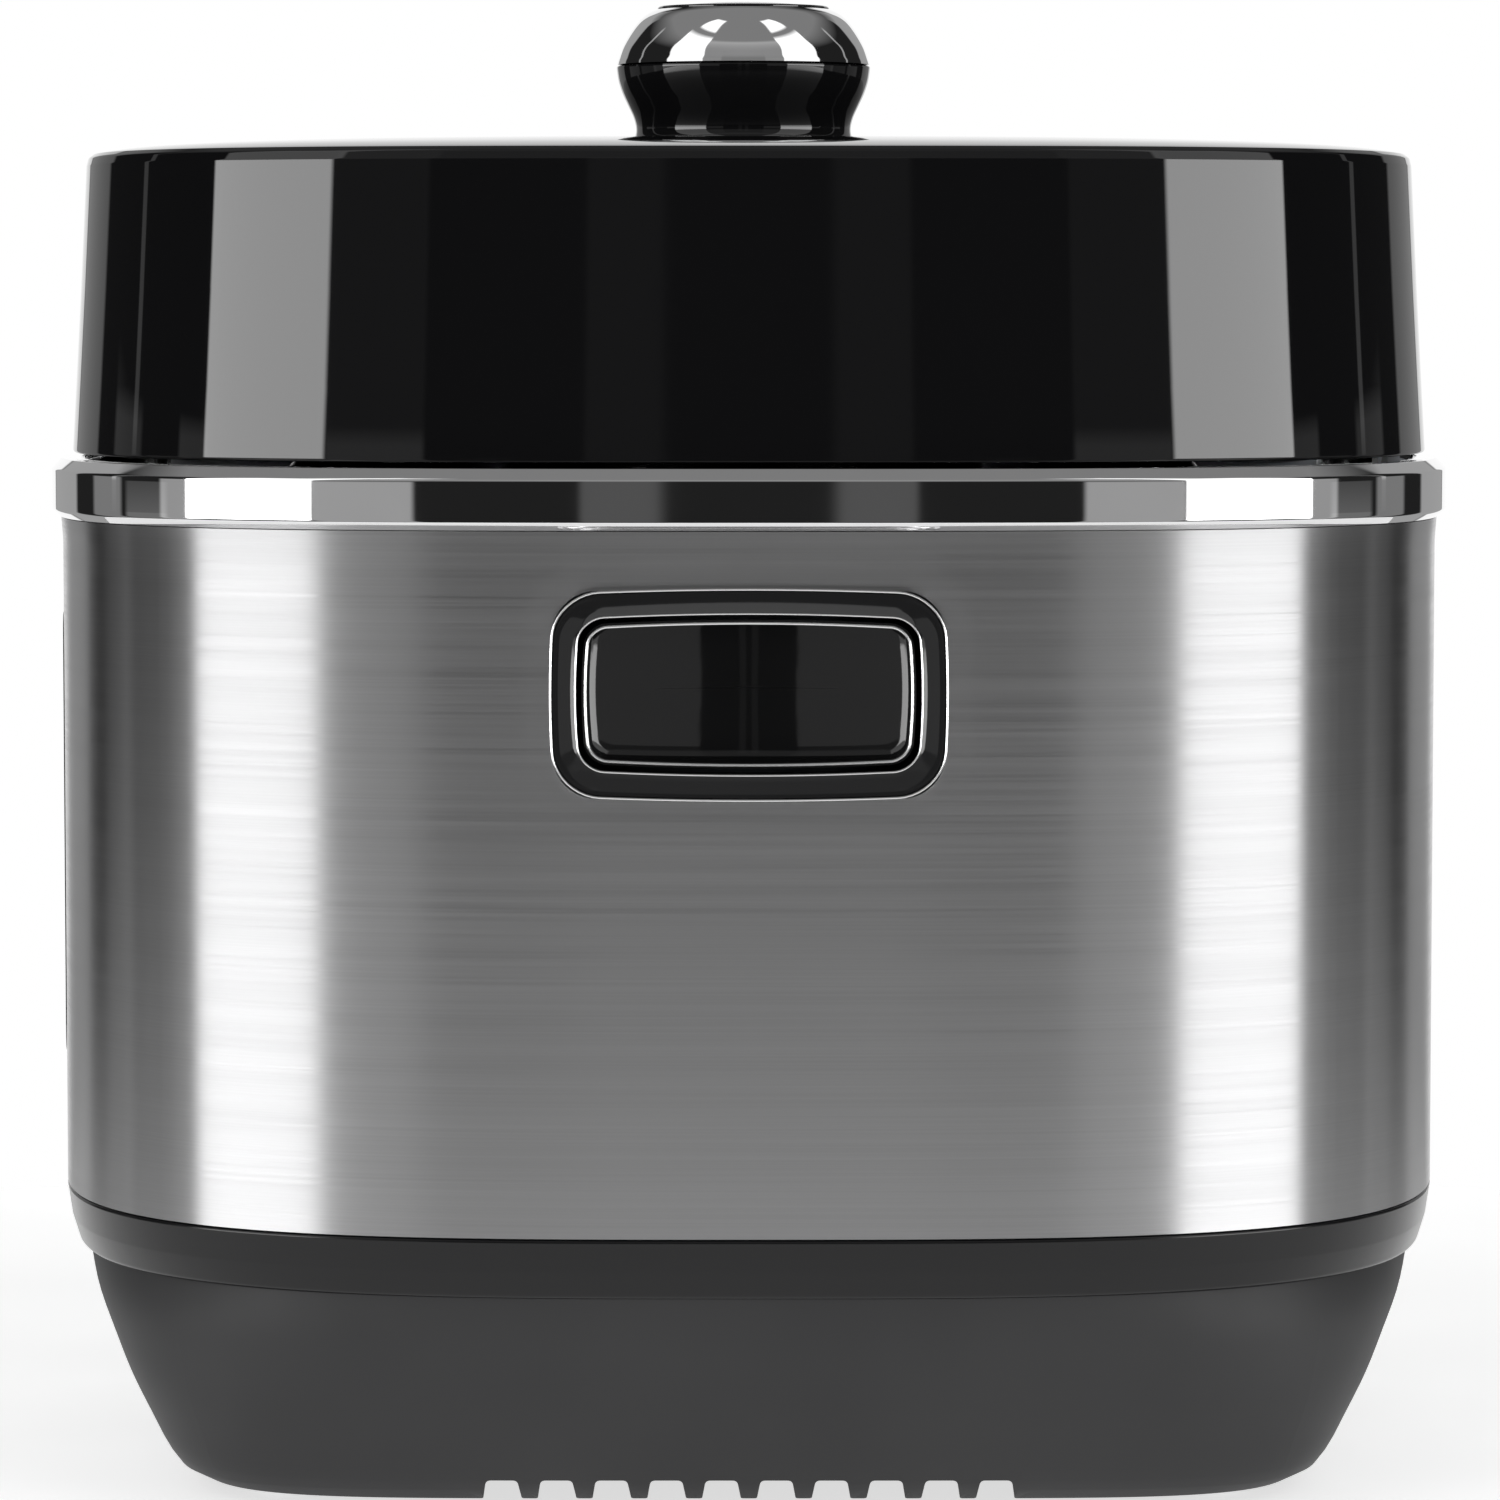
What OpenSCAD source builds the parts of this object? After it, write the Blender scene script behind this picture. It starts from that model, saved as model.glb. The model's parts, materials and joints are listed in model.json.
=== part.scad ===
// Electric pressure cooker with a hinged lid, a turning lock knob and a square steel body.
// +Z is up. The control panel faces -Y, the lid hinge is on the +Y side.
// The origin is on the floor, under the middle of the body. All sizes are in millimetres.
// The body's outline in plan is a superellipse: half is its half width, power its squareness.

/* [Body] */
// Half width of the steel shell
shell_half = 151; // [149:0.5:153]
// Squareness of the outline of the shell, ring and lid
shell_power = 3.3; // [3:0.1:3.6]
// Thickness of the steel sheet
shell_wall = 0.8; // [0.6:0.1:1.2]
// Height of the lower edge of the steel shell
shell_z = 61.5; // [61:0.5:62]
// Height of the upper edge of the steel shell
ring_z = 206.5; // [206:0.5:207]
// Height of the chrome ring's top face
ring_top = 219.3; // [219:0.1:219.6]
// Wall thickness of the moulded base
base_wall = 2.5; // [2:0.1:3]
// Number of notches along the lower rim of each side of the base
notch_count = 10; // [4:1:10]
// Distance between the middles of two notches
notch_pitch = 11.49; // [10:0.01:12]
// Width of one notch
notch_w = 7.15; // [5:0.05:8]

/* [Pots] */
// Inner radius of the removable cooking pot
pot_r = 109.5; // [107:0.5:110]
// Wall thickness of the cooking pot
pot_wall = 2; // [1.5:0.1:2.2]
// Height of the cooking pot's underside, on the heating plate
pot_z = 58.8; // [57:0.1:60]
// Inner radius of the outer pot
outer_pot_r = 114; // [113.5:0.1:115]
// Inner radius of the locking collar on top of the outer pot
collar_r = 127.5; // [127:0.1:128]
// Number of locking lugs on the collar, and on the pressure lid
lug_count = 6; // [6:1:6]

/* [Lid] */
// Half width of the lid at its lower edge
lid_half = 148.8; // [148:0.1:149.2]
// Height of the lid's lower edge
lid_z = 220.4; // [220.2:0.1:220.8]
// Wall thickness of the lid cover
lid_wall = 2.5; // [2:0.1:3]
// Height of the hinge pin's axis
hinge_z = 212; // [211.8:0.1:212.2]
// Distance of the hinge pin's axis behind the middle of the body
hinge_y = 148.3; // [148.1:0.1:148.5]
// Radius of the hinge pin
hinge_pin_r = 2.5; // [2:0.1:2.8]

/* [Knob] */
// Offset of the knob, pot and pressure lid towards the control panel
axis_y = -1.25; // [-2:0.05:0]
// Radius of the hollow shaft that carries the knob and the pressure lid
shaft_r = 8; // [7:0.1:8]
// Radius of the push rod inside the shaft
rod_r = 3.5; // [3:0.1:4]
// Radius of the release button in the knob
button_r = 18.4; // [17:0.1:18.5]
// Height of the top of the release button, which is the top of the cooker
knob_top = 320; // [319.8:0.1:320.4]

/* [Handles] */
// Height of the middle of the two carrying recesses
grip_z = 173.3; // [170:0.1:176]
// Width of a recess's bezel
bezel_w = 81.4; // [78:0.1:84]
// Height of a recess's bezel
bezel_h = 43.6; // [42:0.1:46]
// Width of the mouth of a recess
mouth_w = 66.8; // [62:0.1:68]
// Height of the mouth of a recess
mouth_h = 29.4; // [26:0.1:31]
// Depth of the finger space, from the side of the body
grip_depth = 25; // [20:0.5:26]

/* [Panel] */
// Width of the control panel
panel_w = 116; // [110:1:120]
// Height of the control panel
panel_h = 98; // [94:1:100]
// Height of the middle of the control panel
panel_z = 137; // [135:1:139]
// Width of one push-button
key_w = 24; // [20:1:28]
// Height of one push-button
key_h = 11; // [9:1:13]
// Sideways distance between push-buttons
key_pitch = 34; // [32:1:34]
// Heights of the two rows of push-buttons
key_rows = [121, 102];

/* [Rear] */
// Half width of the condensate cup
cup_half = 26; // [22:1:28]
// Height of the condensate cup's floor
cup_z = 160; // [158:1:164]
// Height of the condensate cup
cup_h = 34; // [30:1:35]
// Sideways place of the mains inlet
inlet_x = -45; // [-55:1:-40]
// Height of the middle of the mains inlet
inlet_z = 84; // [82:1:92]

/* [Hidden] */
$fn = 96;
outline_points = 96;       // points in the outline of an extruded superellipse
loft_points = 72;          // points in each ring of a lofted shell
running_gap = 0.05;        // radial clearance of a shaft or rod that turns or slides
collar_wall = 1.5;
deck_z = 204;              // underside of the deck plate and top of the outer pot's shelf
deck_top = 210;
plate_z = 7;               // underside of the bottom plate
plate_t = 2.5;
chassis_z = 38;
chassis_t = 1.2;
outer_pot_z = 40;
shield_r = 121;
liner_z = 221;
liner_t = 1.5;
frame_z = 244;
frame_t = 3;
dome_z = 222;              // underside of the pressure lid's raised middle
lid_top = 288.5;
panel_face = shell_half + 0.2;
key_travel = 0.8;
board_y = -139;
screw_r = 1.9;
inlet_face = 152.6;
inlet_screw_x = 20;        // from the middle of the inlet to each of its screws

// ---- shared outlines and shapes ----

// Distance from the middle to a superellipse outline in the direction a.
function se_radius(half, power, a) =
  half / pow(pow(abs(cos(a)), power) + pow(abs(sin(a)), power), 1 / power);

function se_points(half, power, count) =
  [for (i = [0:count - 1]) let (a = i * 360 / count) se_radius(half, power, a) * [cos(a), sin(a)]];

// Corner arcs of a rounded rectangle, anticlockwise from its right side.
function rounded_points(w, h, r, steps = 6) =
  [for (corner = [0:3]) for (i = [0:steps])
    let (a = 90 * (corner + i / steps), sx = corner == 0 || corner == 3 ? 1 : -1, sy = corner < 2 ? 1 : -1)
    [sx * (w / 2 - r) + r * cos(a), sy * (h / 2 - r) + r * sin(a)]];

module squircle(half, power = shell_power) {
  polygon(se_points(half, power, outline_points));
}

module squircle_slab(half, z, height, power = shell_power) {
  translate([0, 0, z]) linear_extrude(height) squircle(half, power);
}

// A straight wall that follows the body's outline.
module squircle_wall(half, wall, z, height) {
  difference() {
    squircle_slab(half, z, height);
    squircle_slab(half - wall, z - 1, height + 2);
  }
}

// A closed skin through rings [half width, squareness, height, shift along Y], last ring to first.
module loft(rings) {
  levels = len(rings);
  function corner(level, i) = (level % levels) * loft_points + i % loft_points;
  polyhedron(
    points = [for (ring = rings) for (i = [0:loft_points - 1])
      let (a = i * 360 / loft_points, r = se_radius(ring[0], ring[1], a))
      [r * cos(a), r * sin(a) + ring[3], ring[2]]],
    faces = [for (level = [0:levels - 1]) for (i = [0:loft_points - 1])
      for (half = [0, 1])
        half == 0
          ? [corner(level, i), corner(level + 1, i), corner(level + 1, i + 1)]
          : [corner(level, i), corner(level + 1, i + 1), corner(level, i + 1)]],
    convexity = 8
  );
}

// A rounded bar from x0 to x1 along X, its section given in Y and Z.
module bar_x(w, h, r, x0, x1, z) {
  translate([x0, 0, z]) rotate([90, 0, 90]) linear_extrude(x1 - x0) polygon(rounded_points(w, h, r));
}

// A rounded bar from y0 to y1 along Y, its section given in X and Z.
module bar_y(w, h, r, x, y0, y1, z) {
  translate([x, y1, z]) rotate([90, 0, 0]) linear_extrude(y1 - y0) polygon(rounded_points(w, h, r));
}

module rod_x(r, x0, x1, y, z) {
  translate([x0, y, z]) rotate([0, 90, 0]) cylinder(r = r, h = x1 - x0);
}

module rod_y(r, x, y0, y1, z) {
  translate([x, y0, z]) rotate([-90, 0, 0]) cylinder(r = r, h = y1 - y0);
}

module box(low, high) {
  translate(low) cube(high - low);
}

// Moves children onto the axis of the pots and the knob.
module on_axis() {
  translate([0, axis_y, 0]) children();
}

module tube(r_in, r_out, z, height) {
  translate([0, 0, z]) difference() {
    cylinder(r = r_out, h = height);
    translate([0, 0, -1]) cylinder(r = r_in, h = height + 2);
  }
}

// Copies children at four points, at equal distances from both centre planes.
module four_corners(reach) {
  for (sx = [-1, 1]) for (sy = [-1, 1]) translate([sx * reach, sy * reach, 0]) children();
}

// A helical wire of round section that stands on z.
module coil(r, wire_r, turns, z, height, per_turn = 14, sides = 6) {
  steps = turns * per_turn;
  rise = (height - 2 * wire_r) / steps;
  points = [for (k = [0:steps]) for (s = [0:sides - 1])
    let (a = k * 360 / per_turn, b = s * 360 / sides, q = r + wire_r * cos(b))
    [q * cos(a), q * sin(a), z + wire_r + k * rise + wire_r * sin(b)]];
  walls = [for (k = [0:steps - 1]) for (s = [0:sides - 1])
    [k * sides + s, (k + 1) * sides + s, (k + 1) * sides + (s + 1) % sides, k * sides + (s + 1) % sides]];
  first = [for (s = [0:sides - 1]) s];
  last = [for (s = [sides - 1:-1:0]) steps * sides + s];
  polyhedron(points = points, faces = concat(walls, [first, last]), convexity = 6);
}

// ---- base ----

base_outer = [
  [119.8, 6.5, 3, 0], [122.4, 6.4, 3.9, 0], [125.2, 6.2, 6, 0], [128.4, 5.7, 10.2, 0], [130.8, 5.3, 14.2, 0],
  [135.6, 4.8, 22.9, 0], [139.7, 4.3, 31.6, 0], [143.7, 3.8, 40.3, 0], [145.7, 3.4, 47.7, 0],
  [146.4, shell_power, 48.9, 0], [148.4, shell_power, 51.2, 0], [149.4, shell_power, 53.4, 0],
  [150.2, shell_power, 56, 0], [shell_half - 0.2, shell_power, 59.9, 0], [shell_half, shell_power, shell_z, 0]
];
base_lip = [
  [shell_half - shell_wall - 0.2, shell_power, shell_z, 0],
  [shell_half - shell_wall - 0.2, shell_power, 65.5, 0],
  [148.2, shell_power, 65.5, 0], [148.2, shell_power, 60, 0]
];
base_inner = [for (k = [9:-2:1]) base_outer[k] - [base_wall, 0, 0, 0]];

module base_notches() {
  for (side = [0:3]) rotate(90 * side)
    for (k = [0:notch_count - 1])
      translate([100, (k - (notch_count - 1) / 2) * notch_pitch - notch_w / 2, 0])
        cube([40, notch_w, 6.8]);
}

module base_housing() {
  color([0.21, 0.21, 0.22]) difference() {
    loft(concat(base_outer, base_lip, base_inner, [[119.8 - base_wall, 6.5, 3, 0]]));
    base_notches();
  }
}

module bottom_plate() {
  color([0.18, 0.18, 0.19]) difference() {
    squircle_slab(122, plate_z, plate_t, 6);
    for (k = [-5:5]) box([k * 12 - 2, -40, plate_z - 1], [k * 12 + 2, 40, plate_z + plate_t + 1]);
    four_corners(100) cylinder(r = screw_r + 0.1, h = 20);
    four_corners(84) cylinder(r = 4.1, h = 20);
  }
}

// Each foot has a stem that is pushed through the bottom plate.
module rubber_feet() {
  color([0.08, 0.08, 0.08]) four_corners(84) {
    cylinder(r = 9, h = plate_z);
    cylinder(r = 4, h = plate_z + plate_t);
    translate([0, 0, plate_z + plate_t]) cylinder(r1 = 5.2, r2 = 3, h = 3);
  }
}

module bottom_screws() {
  color([0.6, 0.6, 0.6]) four_corners(100) {
    translate([0, 0, plate_z - 2]) cylinder(r = 3.6, h = 2);
    translate([0, 0, plate_z - 2]) cylinder(r = screw_r, h = 14);
  }
}

module chassis_plate() {
  color([0.55, 0.57, 0.6]) difference() {
    union() {
      squircle_slab(137, chassis_z, chassis_t, 4);
      four_corners(100) translate([0, 0, plate_z + plate_t])
        cylinder(r = 5, h = chassis_z - plate_z - plate_t);
    }
    four_corners(100) translate([0, 0, plate_z]) cylinder(r = screw_r, h = 14);
    on_axis() translate([0, 0, chassis_z - 1]) cylinder(r = 40, h = 5);
  }
}

// ---- body ----

module body_openings() {
  for (side = [-1, 1]) scale([side, 1, 1]) bar_x(bezel_w - 2, bezel_h - 2, 8.5, 130, 160, grip_z);
  bar_y(panel_w, panel_h, 11, 0, -160, -130, panel_z);
  bar_y(2 * cup_half + 4, cup_h + 4, 4, 0, 130, 160, cup_z + cup_h / 2);
  bar_y(29, 21, 3, inlet_x, 130, 160, inlet_z);
  for (side = [-1, 1]) rod_y(screw_r + 0.2, inlet_x + inlet_screw_x * side, 130, 160, inlet_z);
}

module steel_shell() {
  color([0.72, 0.72, 0.73]) difference() {
    squircle_wall(shell_half, shell_wall, shell_z, ring_z - shell_z);
    body_openings();
  }
}

// The ring's outer side, from its lower bead to its top bevel.
ring_side = [
  [0.2, 0], [1.4, 0.7], [2, 1.6], [2.3, 2.8], [2.3, 9.5], [1.9, 10.9], [1, 12.1], [-0.4, 12.8]
];

module chrome_ring() {
  color([0.85, 0.86, 0.88]) difference() {
    loft(concat(
      [for (p = ring_side) [shell_half + p[0], shell_power, ring_z + p[1], 0]],
      [[147.4, shell_power, ring_top, 0], [146.2, shell_power, ring_top - 1.2, 0]],
      [[146.2, shell_power, ring_z, 0]]
    ));
    box([-29, 135, ring_z - 1], [29, 160, ring_top + 1]);
  }
}

// The deck closes the gap between the chrome ring and the locking collar.
module deck_plate() {
  color([0.12, 0.12, 0.12]) difference() {
    squircle_slab(145.8, deck_z, deck_top - deck_z);
    on_axis() translate([0, 0, deck_z - 1]) cylinder(r = collar_r + collar_wall, h = 10);
    box([-29, 139, deck_z + 2], [29, 160, deck_top + 1]);
  }
}

module handle_bezel(side) {
  color([0.05, 0.05, 0.05]) scale([side, 1, 1]) difference() {
    union() {
      bar_x(bezel_w - 2.4, bezel_h - 2.4, 8.3, 145, shell_half + 0.2, grip_z);
      bar_x(bezel_w - 2.4, bezel_h - 2.4, 8.3, 143, 146, grip_z);
    }
    bar_x(mouth_w + 4.4, mouth_h + 4.4, 7.2, 140, 160, grip_z);
  }
}

module handle_trim(side) {
  color([0.85, 0.86, 0.88]) scale([side, 1, 1]) difference() {
    bar_x(bezel_w, bezel_h, 9.5, shell_half + 0.05, shell_half + 0.6, grip_z);
    bar_x(bezel_w - 2.2, bezel_h - 2.2, 8.4, 145, 160, grip_z);
  }
}

module handle_cup(side) {
  color([0.05, 0.05, 0.05]) scale([side, 1, 1]) difference() {
    bar_x(mouth_w + 4.2, mouth_h + 4.2, 7.1, shell_half - grip_depth - 2, shell_half - 1.5, grip_z);
    bar_x(mouth_w, mouth_h, 5, shell_half - grip_depth, 160, grip_z);
  }
}

// ---- control panel ----

module key_places() {
  for (row = [0, 1]) for (column = [-1:1]) translate([column * key_pitch, 0, key_rows[row]]) children();
}

// A piece of the panel's curved front, between two depths below its face.
module panel_piece(w, h, r, x, z, top, bottom) {
  intersection() {
    squircle_wall(panel_face - top, bottom - top, z - h, 2 * h);
    bar_y(w, h, r, x, -160, -130, z);
  }
}

module control_panel() {
  color([0.04, 0.04, 0.04]) difference() {
    panel_piece(panel_w - 0.4, panel_h - 0.4, 10.8, 0, panel_z, 0, 3.2);
    bar_y(64.4, 36.4, 4.2, 0, -160, -130, panel_z + 22);
    key_places() bar_y(key_w + 0.7, key_h + 0.7, 3.3, 0, -160, -130, 0);
  }
}

module display_window() {
  color([0.1, 0.11, 0.12, 0.6]) panel_piece(64, 36, 4, 0, panel_z + 22, 0, 1.6);
}

module display_module() {
  color([0.25, 0.28, 0.26]) box([-31, -147.4, panel_z + 5], [31, board_y - 1.6, panel_z + 39]);
}

// The board carries one tactile switch behind each push-button.
module control_board() {
  color([0.1, 0.35, 0.2]) {
    box([-56, board_y - 1.6, panel_z - 45], [56, board_y, panel_z + 45]);
    key_places() box([-3, board_y - 4, -3], [3, board_y - 1.5, 3]);
  }
}

// A cap that follows the panel's face, with a stem that ends just above its switch.
module push_button(column, row) {
  x = column * key_pitch;
  z = key_rows[row];
  color([0.16, 0.16, 0.17]) {
    panel_piece(key_w, key_h, 3, x, z, 0, 3.2);
    rod_y(2, x, -149, board_y - 4 - key_travel - 0.2, z);
  }
}

// ---- pots and heating ----

// The outer pot's wall, its shelf for the cooking pot and the collar above the shelf.
module outer_pot() {
  floor_hole = 30;
  lug_span = 27;
  color([0.75, 0.76, 0.78]) on_axis() {
    rotate_extrude() polygon([
      [floor_hole, outer_pot_z], [outer_pot_r + collar_wall, outer_pot_z],
      [outer_pot_r + collar_wall, deck_z - collar_wall], [collar_r + collar_wall, deck_z - collar_wall],
      [collar_r + collar_wall, 218], [collar_r, 218], [collar_r, deck_z], [outer_pot_r, deck_z],
      [outer_pot_r, outer_pot_z + collar_wall], [floor_hole, outer_pot_z + collar_wall]
    ]);
    for (k = [0:lug_count - 1]) rotate(90 - lug_span / 2 + 60 * k)
      rotate_extrude(angle = lug_span) translate([119.8, 214.5]) square([collar_r - 119.5, 3]);
  }
}

module heat_shield() {
  color([0.6, 0.61, 0.62]) on_axis() tube(shield_r, shield_r + 0.4, chassis_z + chassis_t, 158);
}

module heating_plate() {
  color([0.7, 0.7, 0.7]) on_axis() difference() {
    translate([0, 0, 49]) cylinder(r = 95, h = pot_z - 49);
    translate([0, 0, 48]) cylinder(r = 17, h = 20);
  }
}

module heating_element() {
  color([0.35, 0.33, 0.32]) on_axis() {
    translate([0, 0, 45.5]) rotate(-60) rotate_extrude(angle = 300) translate([72, 0]) circle(r = 3.5);
    for (a = [-60, 240]) rotate(a) translate([72, 0, 43]) cylinder(r = 2, h = 3);
  }
}

module thermal_fuse() {
  color([0.8, 0.8, 0.75]) on_axis() rotate(130) {
    box([40, -6, 46.5], [58, 6, 49]);
    translate([49, -11, 45.5]) rotate([-90, 0, 0]) cylinder(r = 2, h = 22);
  }
}

module thermostat_sensor() {
  color([0.8, 0.8, 0.82]) on_axis() {
    translate([0, 0, 54.5]) cylinder(r = 15.5, h = 4);
    translate([0, 0, 46]) cylinder(r = 6, h = 9);
  }
}

module sensor_spring() {
  color([0.7, 0.7, 0.72]) on_axis() coil(9.5, 0.7, 4, 41.5, 13);
}

// The sensor spring stands on the chassis's bridge, so the board hangs below the chassis.
module power_board() {
  color([0.12, 0.4, 0.25]) {
    box([-70, -90, 18], [60, -10, 19.6]);
    box([-60, -80, 19.6], [-25, -50, 36]);
    box([-10, -75, 19.6], [20, -50, 34]);
    box([30, -80, 19.6], [52, -30, 30]);
    translate([-45, -30, 19.6]) cylinder(r = 8, h = 15);
  }
}

module inner_pot() {
  pot_out = pot_r + pot_wall;
  bend = 14;
  color([0.3, 0.3, 0.31]) on_axis() rotate_extrude() polygon(concat(
    [[0, pot_z], [pot_out - bend, pot_z]],
    [for (i = [1:6]) [pot_out - bend + bend * sin(15 * i), pot_z + bend - bend * cos(15 * i)]],
    [[pot_out, deck_z], [118, deck_z], [118, deck_z + 2], [pot_r, deck_z + 2]],
    [for (i = [6:-1:0])
      [pot_r - bend + pot_wall + (bend - pot_wall) * sin(15 * i),
       pot_z + bend - (bend - pot_wall) * cos(15 * i)]],
    [[0, pot_z + pot_wall]]
  ));
}

// ---- rear fittings ----

// The flange lies on the steel and follows its curve.
module mains_inlet() {
  color([0.07, 0.07, 0.07]) difference() {
    union() {
      difference() {
        bar_y(50, 24, 3, inlet_x, 145, inlet_face, inlet_z);
        squircle_slab(shell_half + 0.03, inlet_z - 20, 40);
      }
      bar_y(28.4, 20.4, 2.6, inlet_x, 128, inlet_face - 1, inlet_z);
    }
    bar_y(24.6, 17, 2.5, inlet_x, 134, inlet_face + 1, inlet_z);
    for (side = [-1, 1]) rod_y(screw_r + 0.1, inlet_x + inlet_screw_x * side, 140, 160, inlet_z);
  }
}

// Three flat pins, with the earth pin in the middle and higher.
module inlet_pins() {
  color([0.8, 0.75, 0.55]) for (k = [-1:1])
    translate([inlet_x + 7 * k, 0, inlet_z + (k == 0 ? 2 : -2)]) box([-1, 121, -2], [1, 148, 2]);
}

module inlet_screws() {
  color([0.75, 0.75, 0.75]) for (side = [-1, 1]) {
    rod_y(screw_r, inlet_x + inlet_screw_x * side, 143, inlet_face + 0.2, inlet_z);
    rod_y(3.4, inlet_x + inlet_screw_x * side, inlet_face, inlet_face + 1.2, inlet_z);
  }
}

module cup_holder() {
  color([0.16, 0.16, 0.17]) difference() {
    box([-cup_half - 1.8, 121.6, cup_z - 1.8], [cup_half + 1.8, 149.4, cup_z + cup_h + 1.8]);
    box([-cup_half - 0.4, 123, cup_z - 0.4], [cup_half + 0.4, 160, cup_z + cup_h + 0.4]);
    translate([0, 136, cup_z + cup_h]) cylinder(r = 4, h = 5);
  }
}

// A drawer-like cup, open at the top. Its front lies flush with the steel and has a finger groove.
module condensate_cup() {
  color([0.3, 0.3, 0.32]) difference() {
    union() {
      box([-cup_half, 123.6, cup_z], [cup_half, 150, cup_z + cup_h]);
      bar_y(2 * cup_half + 3, cup_h + 3, 3, 0, 149.6, 151.3, cup_z + cup_h / 2);
    }
    box([-cup_half + 1.6, 125.2, cup_z + 1.6], [cup_half - 1.6, 145, cup_z + cup_h + 3]);
    rod_x(7, -16, 16, 155, cup_z + cup_h - 10);
  }
}

// ---- hinge ----

ear_x = [19, 27];
knuckle_x = [4, 17.5];

module hinge_bracket() {
  color([0.6, 0.62, 0.65]) difference() {
    union() {
      for (side = [-1, 1]) scale([side, 1, 1]) {
        rod_x(5.2, ear_x[0], ear_x[1], hinge_y, hinge_z);
        box([ear_x[0], 132, deck_top], [ear_x[1], hinge_y, deck_top + 4.5]);
      }
      box([-ear_x[1], 132, deck_top], [ear_x[1], 138, deck_top + 2]);
    }
    rod_x(hinge_pin_r, -40, 40, hinge_y, hinge_z);
  }
}

module hinge_pin() {
  color([0.75, 0.76, 0.78]) {
    rod_x(hinge_pin_r, -ear_x[1], ear_x[1], hinge_y, hinge_z);
    for (side = [-1, 1]) scale([side, 1, 1]) rod_x(3.6, ear_x[1], ear_x[1] + 1.2, hinge_y, hinge_z);
  }
}

// Two barrels on the pin, joined to a foot that is screwed down inside the lid.
module hinge_arm() {
  color([0.55, 0.57, 0.6]) difference() {
    union() {
      for (side = [-1, 1]) scale([side, 1, 1]) {
        rod_x(4.6, knuckle_x[0], knuckle_x[1], hinge_y, hinge_z);
        box([knuckle_x[0], 142.6, hinge_z - 1], [knuckle_x[1], 145.4, 226]);
      }
      box([-knuckle_x[1], 112, liner_z + liner_t], [knuckle_x[1], 145.4, 226]);
    }
    rod_x(hinge_pin_r + running_gap, -40, 40, hinge_y, hinge_z);
  }
}

// ---- lid ----

lid_outer = [
  [lid_half, shell_power, lid_z, 0], [147.9, shell_power, 236, 0], [146.8, shell_power, 256, 0],
  [145.2, shell_power, 283.5, 0], [144.2, shell_power, 285, 0], [141, shell_power, 286, 0],
  [132, 3.1, 286.9, 0], [118, 2.9, 287.5, axis_y * 0.2], [95, 2.6, 288, axis_y * 0.5],
  [60, 2.2, 288.3, axis_y * 0.8], [32, 2, lid_top, axis_y], [14, 2, lid_top, axis_y]
];
lid_inner = [
  [14, 2, lid_top - lid_wall, axis_y], [60, 2.2, 285.8, axis_y * 0.8], [118, 2.9, 285, axis_y * 0.2],
  [139.5, 3.2, 283.4, 0], [142.7, shell_power, 282, 0], [144.3, shell_power, 256, 0],
  [lid_half - lid_wall, shell_power, lid_z, 0]
];
vent_y = 85;
vent_r = 17;

module lid_cover() {
  color([0.05, 0.05, 0.055]) difference() {
    loft(concat(lid_outer, lid_inner));
    translate([0, vent_y, 270]) cylinder(r = vent_r + 0.4, h = 30);
  }
}

module lid_liner() {
  color([0.7, 0.71, 0.72]) difference() {
    squircle_slab(145.9, liner_z, liner_t);
    on_axis() translate([0, 0, liner_z - 1]) cylinder(r = 110, h = 5);
    box([-19, 142, liner_z - 1], [19, 160, liner_z + liner_t + 1]);
    on_axis() four_corners(86) translate([0, 0, liner_z - 1]) cylinder(r = screw_r + 0.1, h = 5);
  }
}

// A spider that carries the knob's bush on four legs.
module lid_frame() {
  color([0.5, 0.52, 0.55]) on_axis() difference() {
    union() {
      translate([0, 0, frame_z]) cylinder(r = 40, h = frame_t);
      for (a = [45, 135]) rotate(a) box([-128, -9, frame_z], [128, 9, frame_z + frame_t]);
      four_corners(86) translate([0, 0, liner_z + liner_t]) cylinder(r = 5.5, h = frame_z - liner_z);
    }
    translate([0, 0, frame_z - 1]) cylinder(r = 13.6, h = 5);
    four_corners(86) translate([0, 0, liner_z]) cylinder(r = screw_r, h = 12);
  }
}

module lid_screws() {
  color([0.6, 0.6, 0.6]) on_axis() four_corners(86) {
    translate([0, 0, liner_z - 1.4]) cylinder(r = 3.6, h = 1.4);
    translate([0, 0, liner_z - 1.4]) cylinder(r = screw_r, h = 12);
  }
}

module vent_well() {
  color([0.1, 0.1, 0.1]) translate([0, vent_y, 0]) difference() {
    translate([0, 0, 262]) cylinder(r = vent_r + 1.6, h = 23);
    translate([0, 0, 263.6]) cylinder(r = vent_r + 0.1, h = 30);
    translate([0, 0, 250]) cylinder(r = 5, h = 20);
  }
}

// A lift-out cap, flush with the lid, with curved steam slots.
module steam_vent_cap() {
  color([0.08, 0.08, 0.085]) translate([0, vent_y, 0]) difference() {
    union() {
      translate([0, 0, 266]) cylinder(r = vent_r - 0.4, h = 18);
      translate([0, 0, 284]) cylinder(r = vent_r, h = 4.5);
    }
    translate([0, 0, 260]) cylinder(r = vent_r - 2.4, h = 25.5);
    for (r = [5, 9.5]) for (side = [0, 180]) rotate(side + 30)
      rotate_extrude(angle = 120) translate([r, 280]) square([2, 10]);
  }
}

module knob_bush() {
  color([0.6, 0.6, 0.55]) on_axis() {
    tube(shaft_r + running_gap, 13.4, frame_z - 3, 285 - frame_z + 2);
    tube(13.3, 20, frame_z + frame_t, 3);
  }
}

// ---- knob, shaft and pressure lid ----

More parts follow.
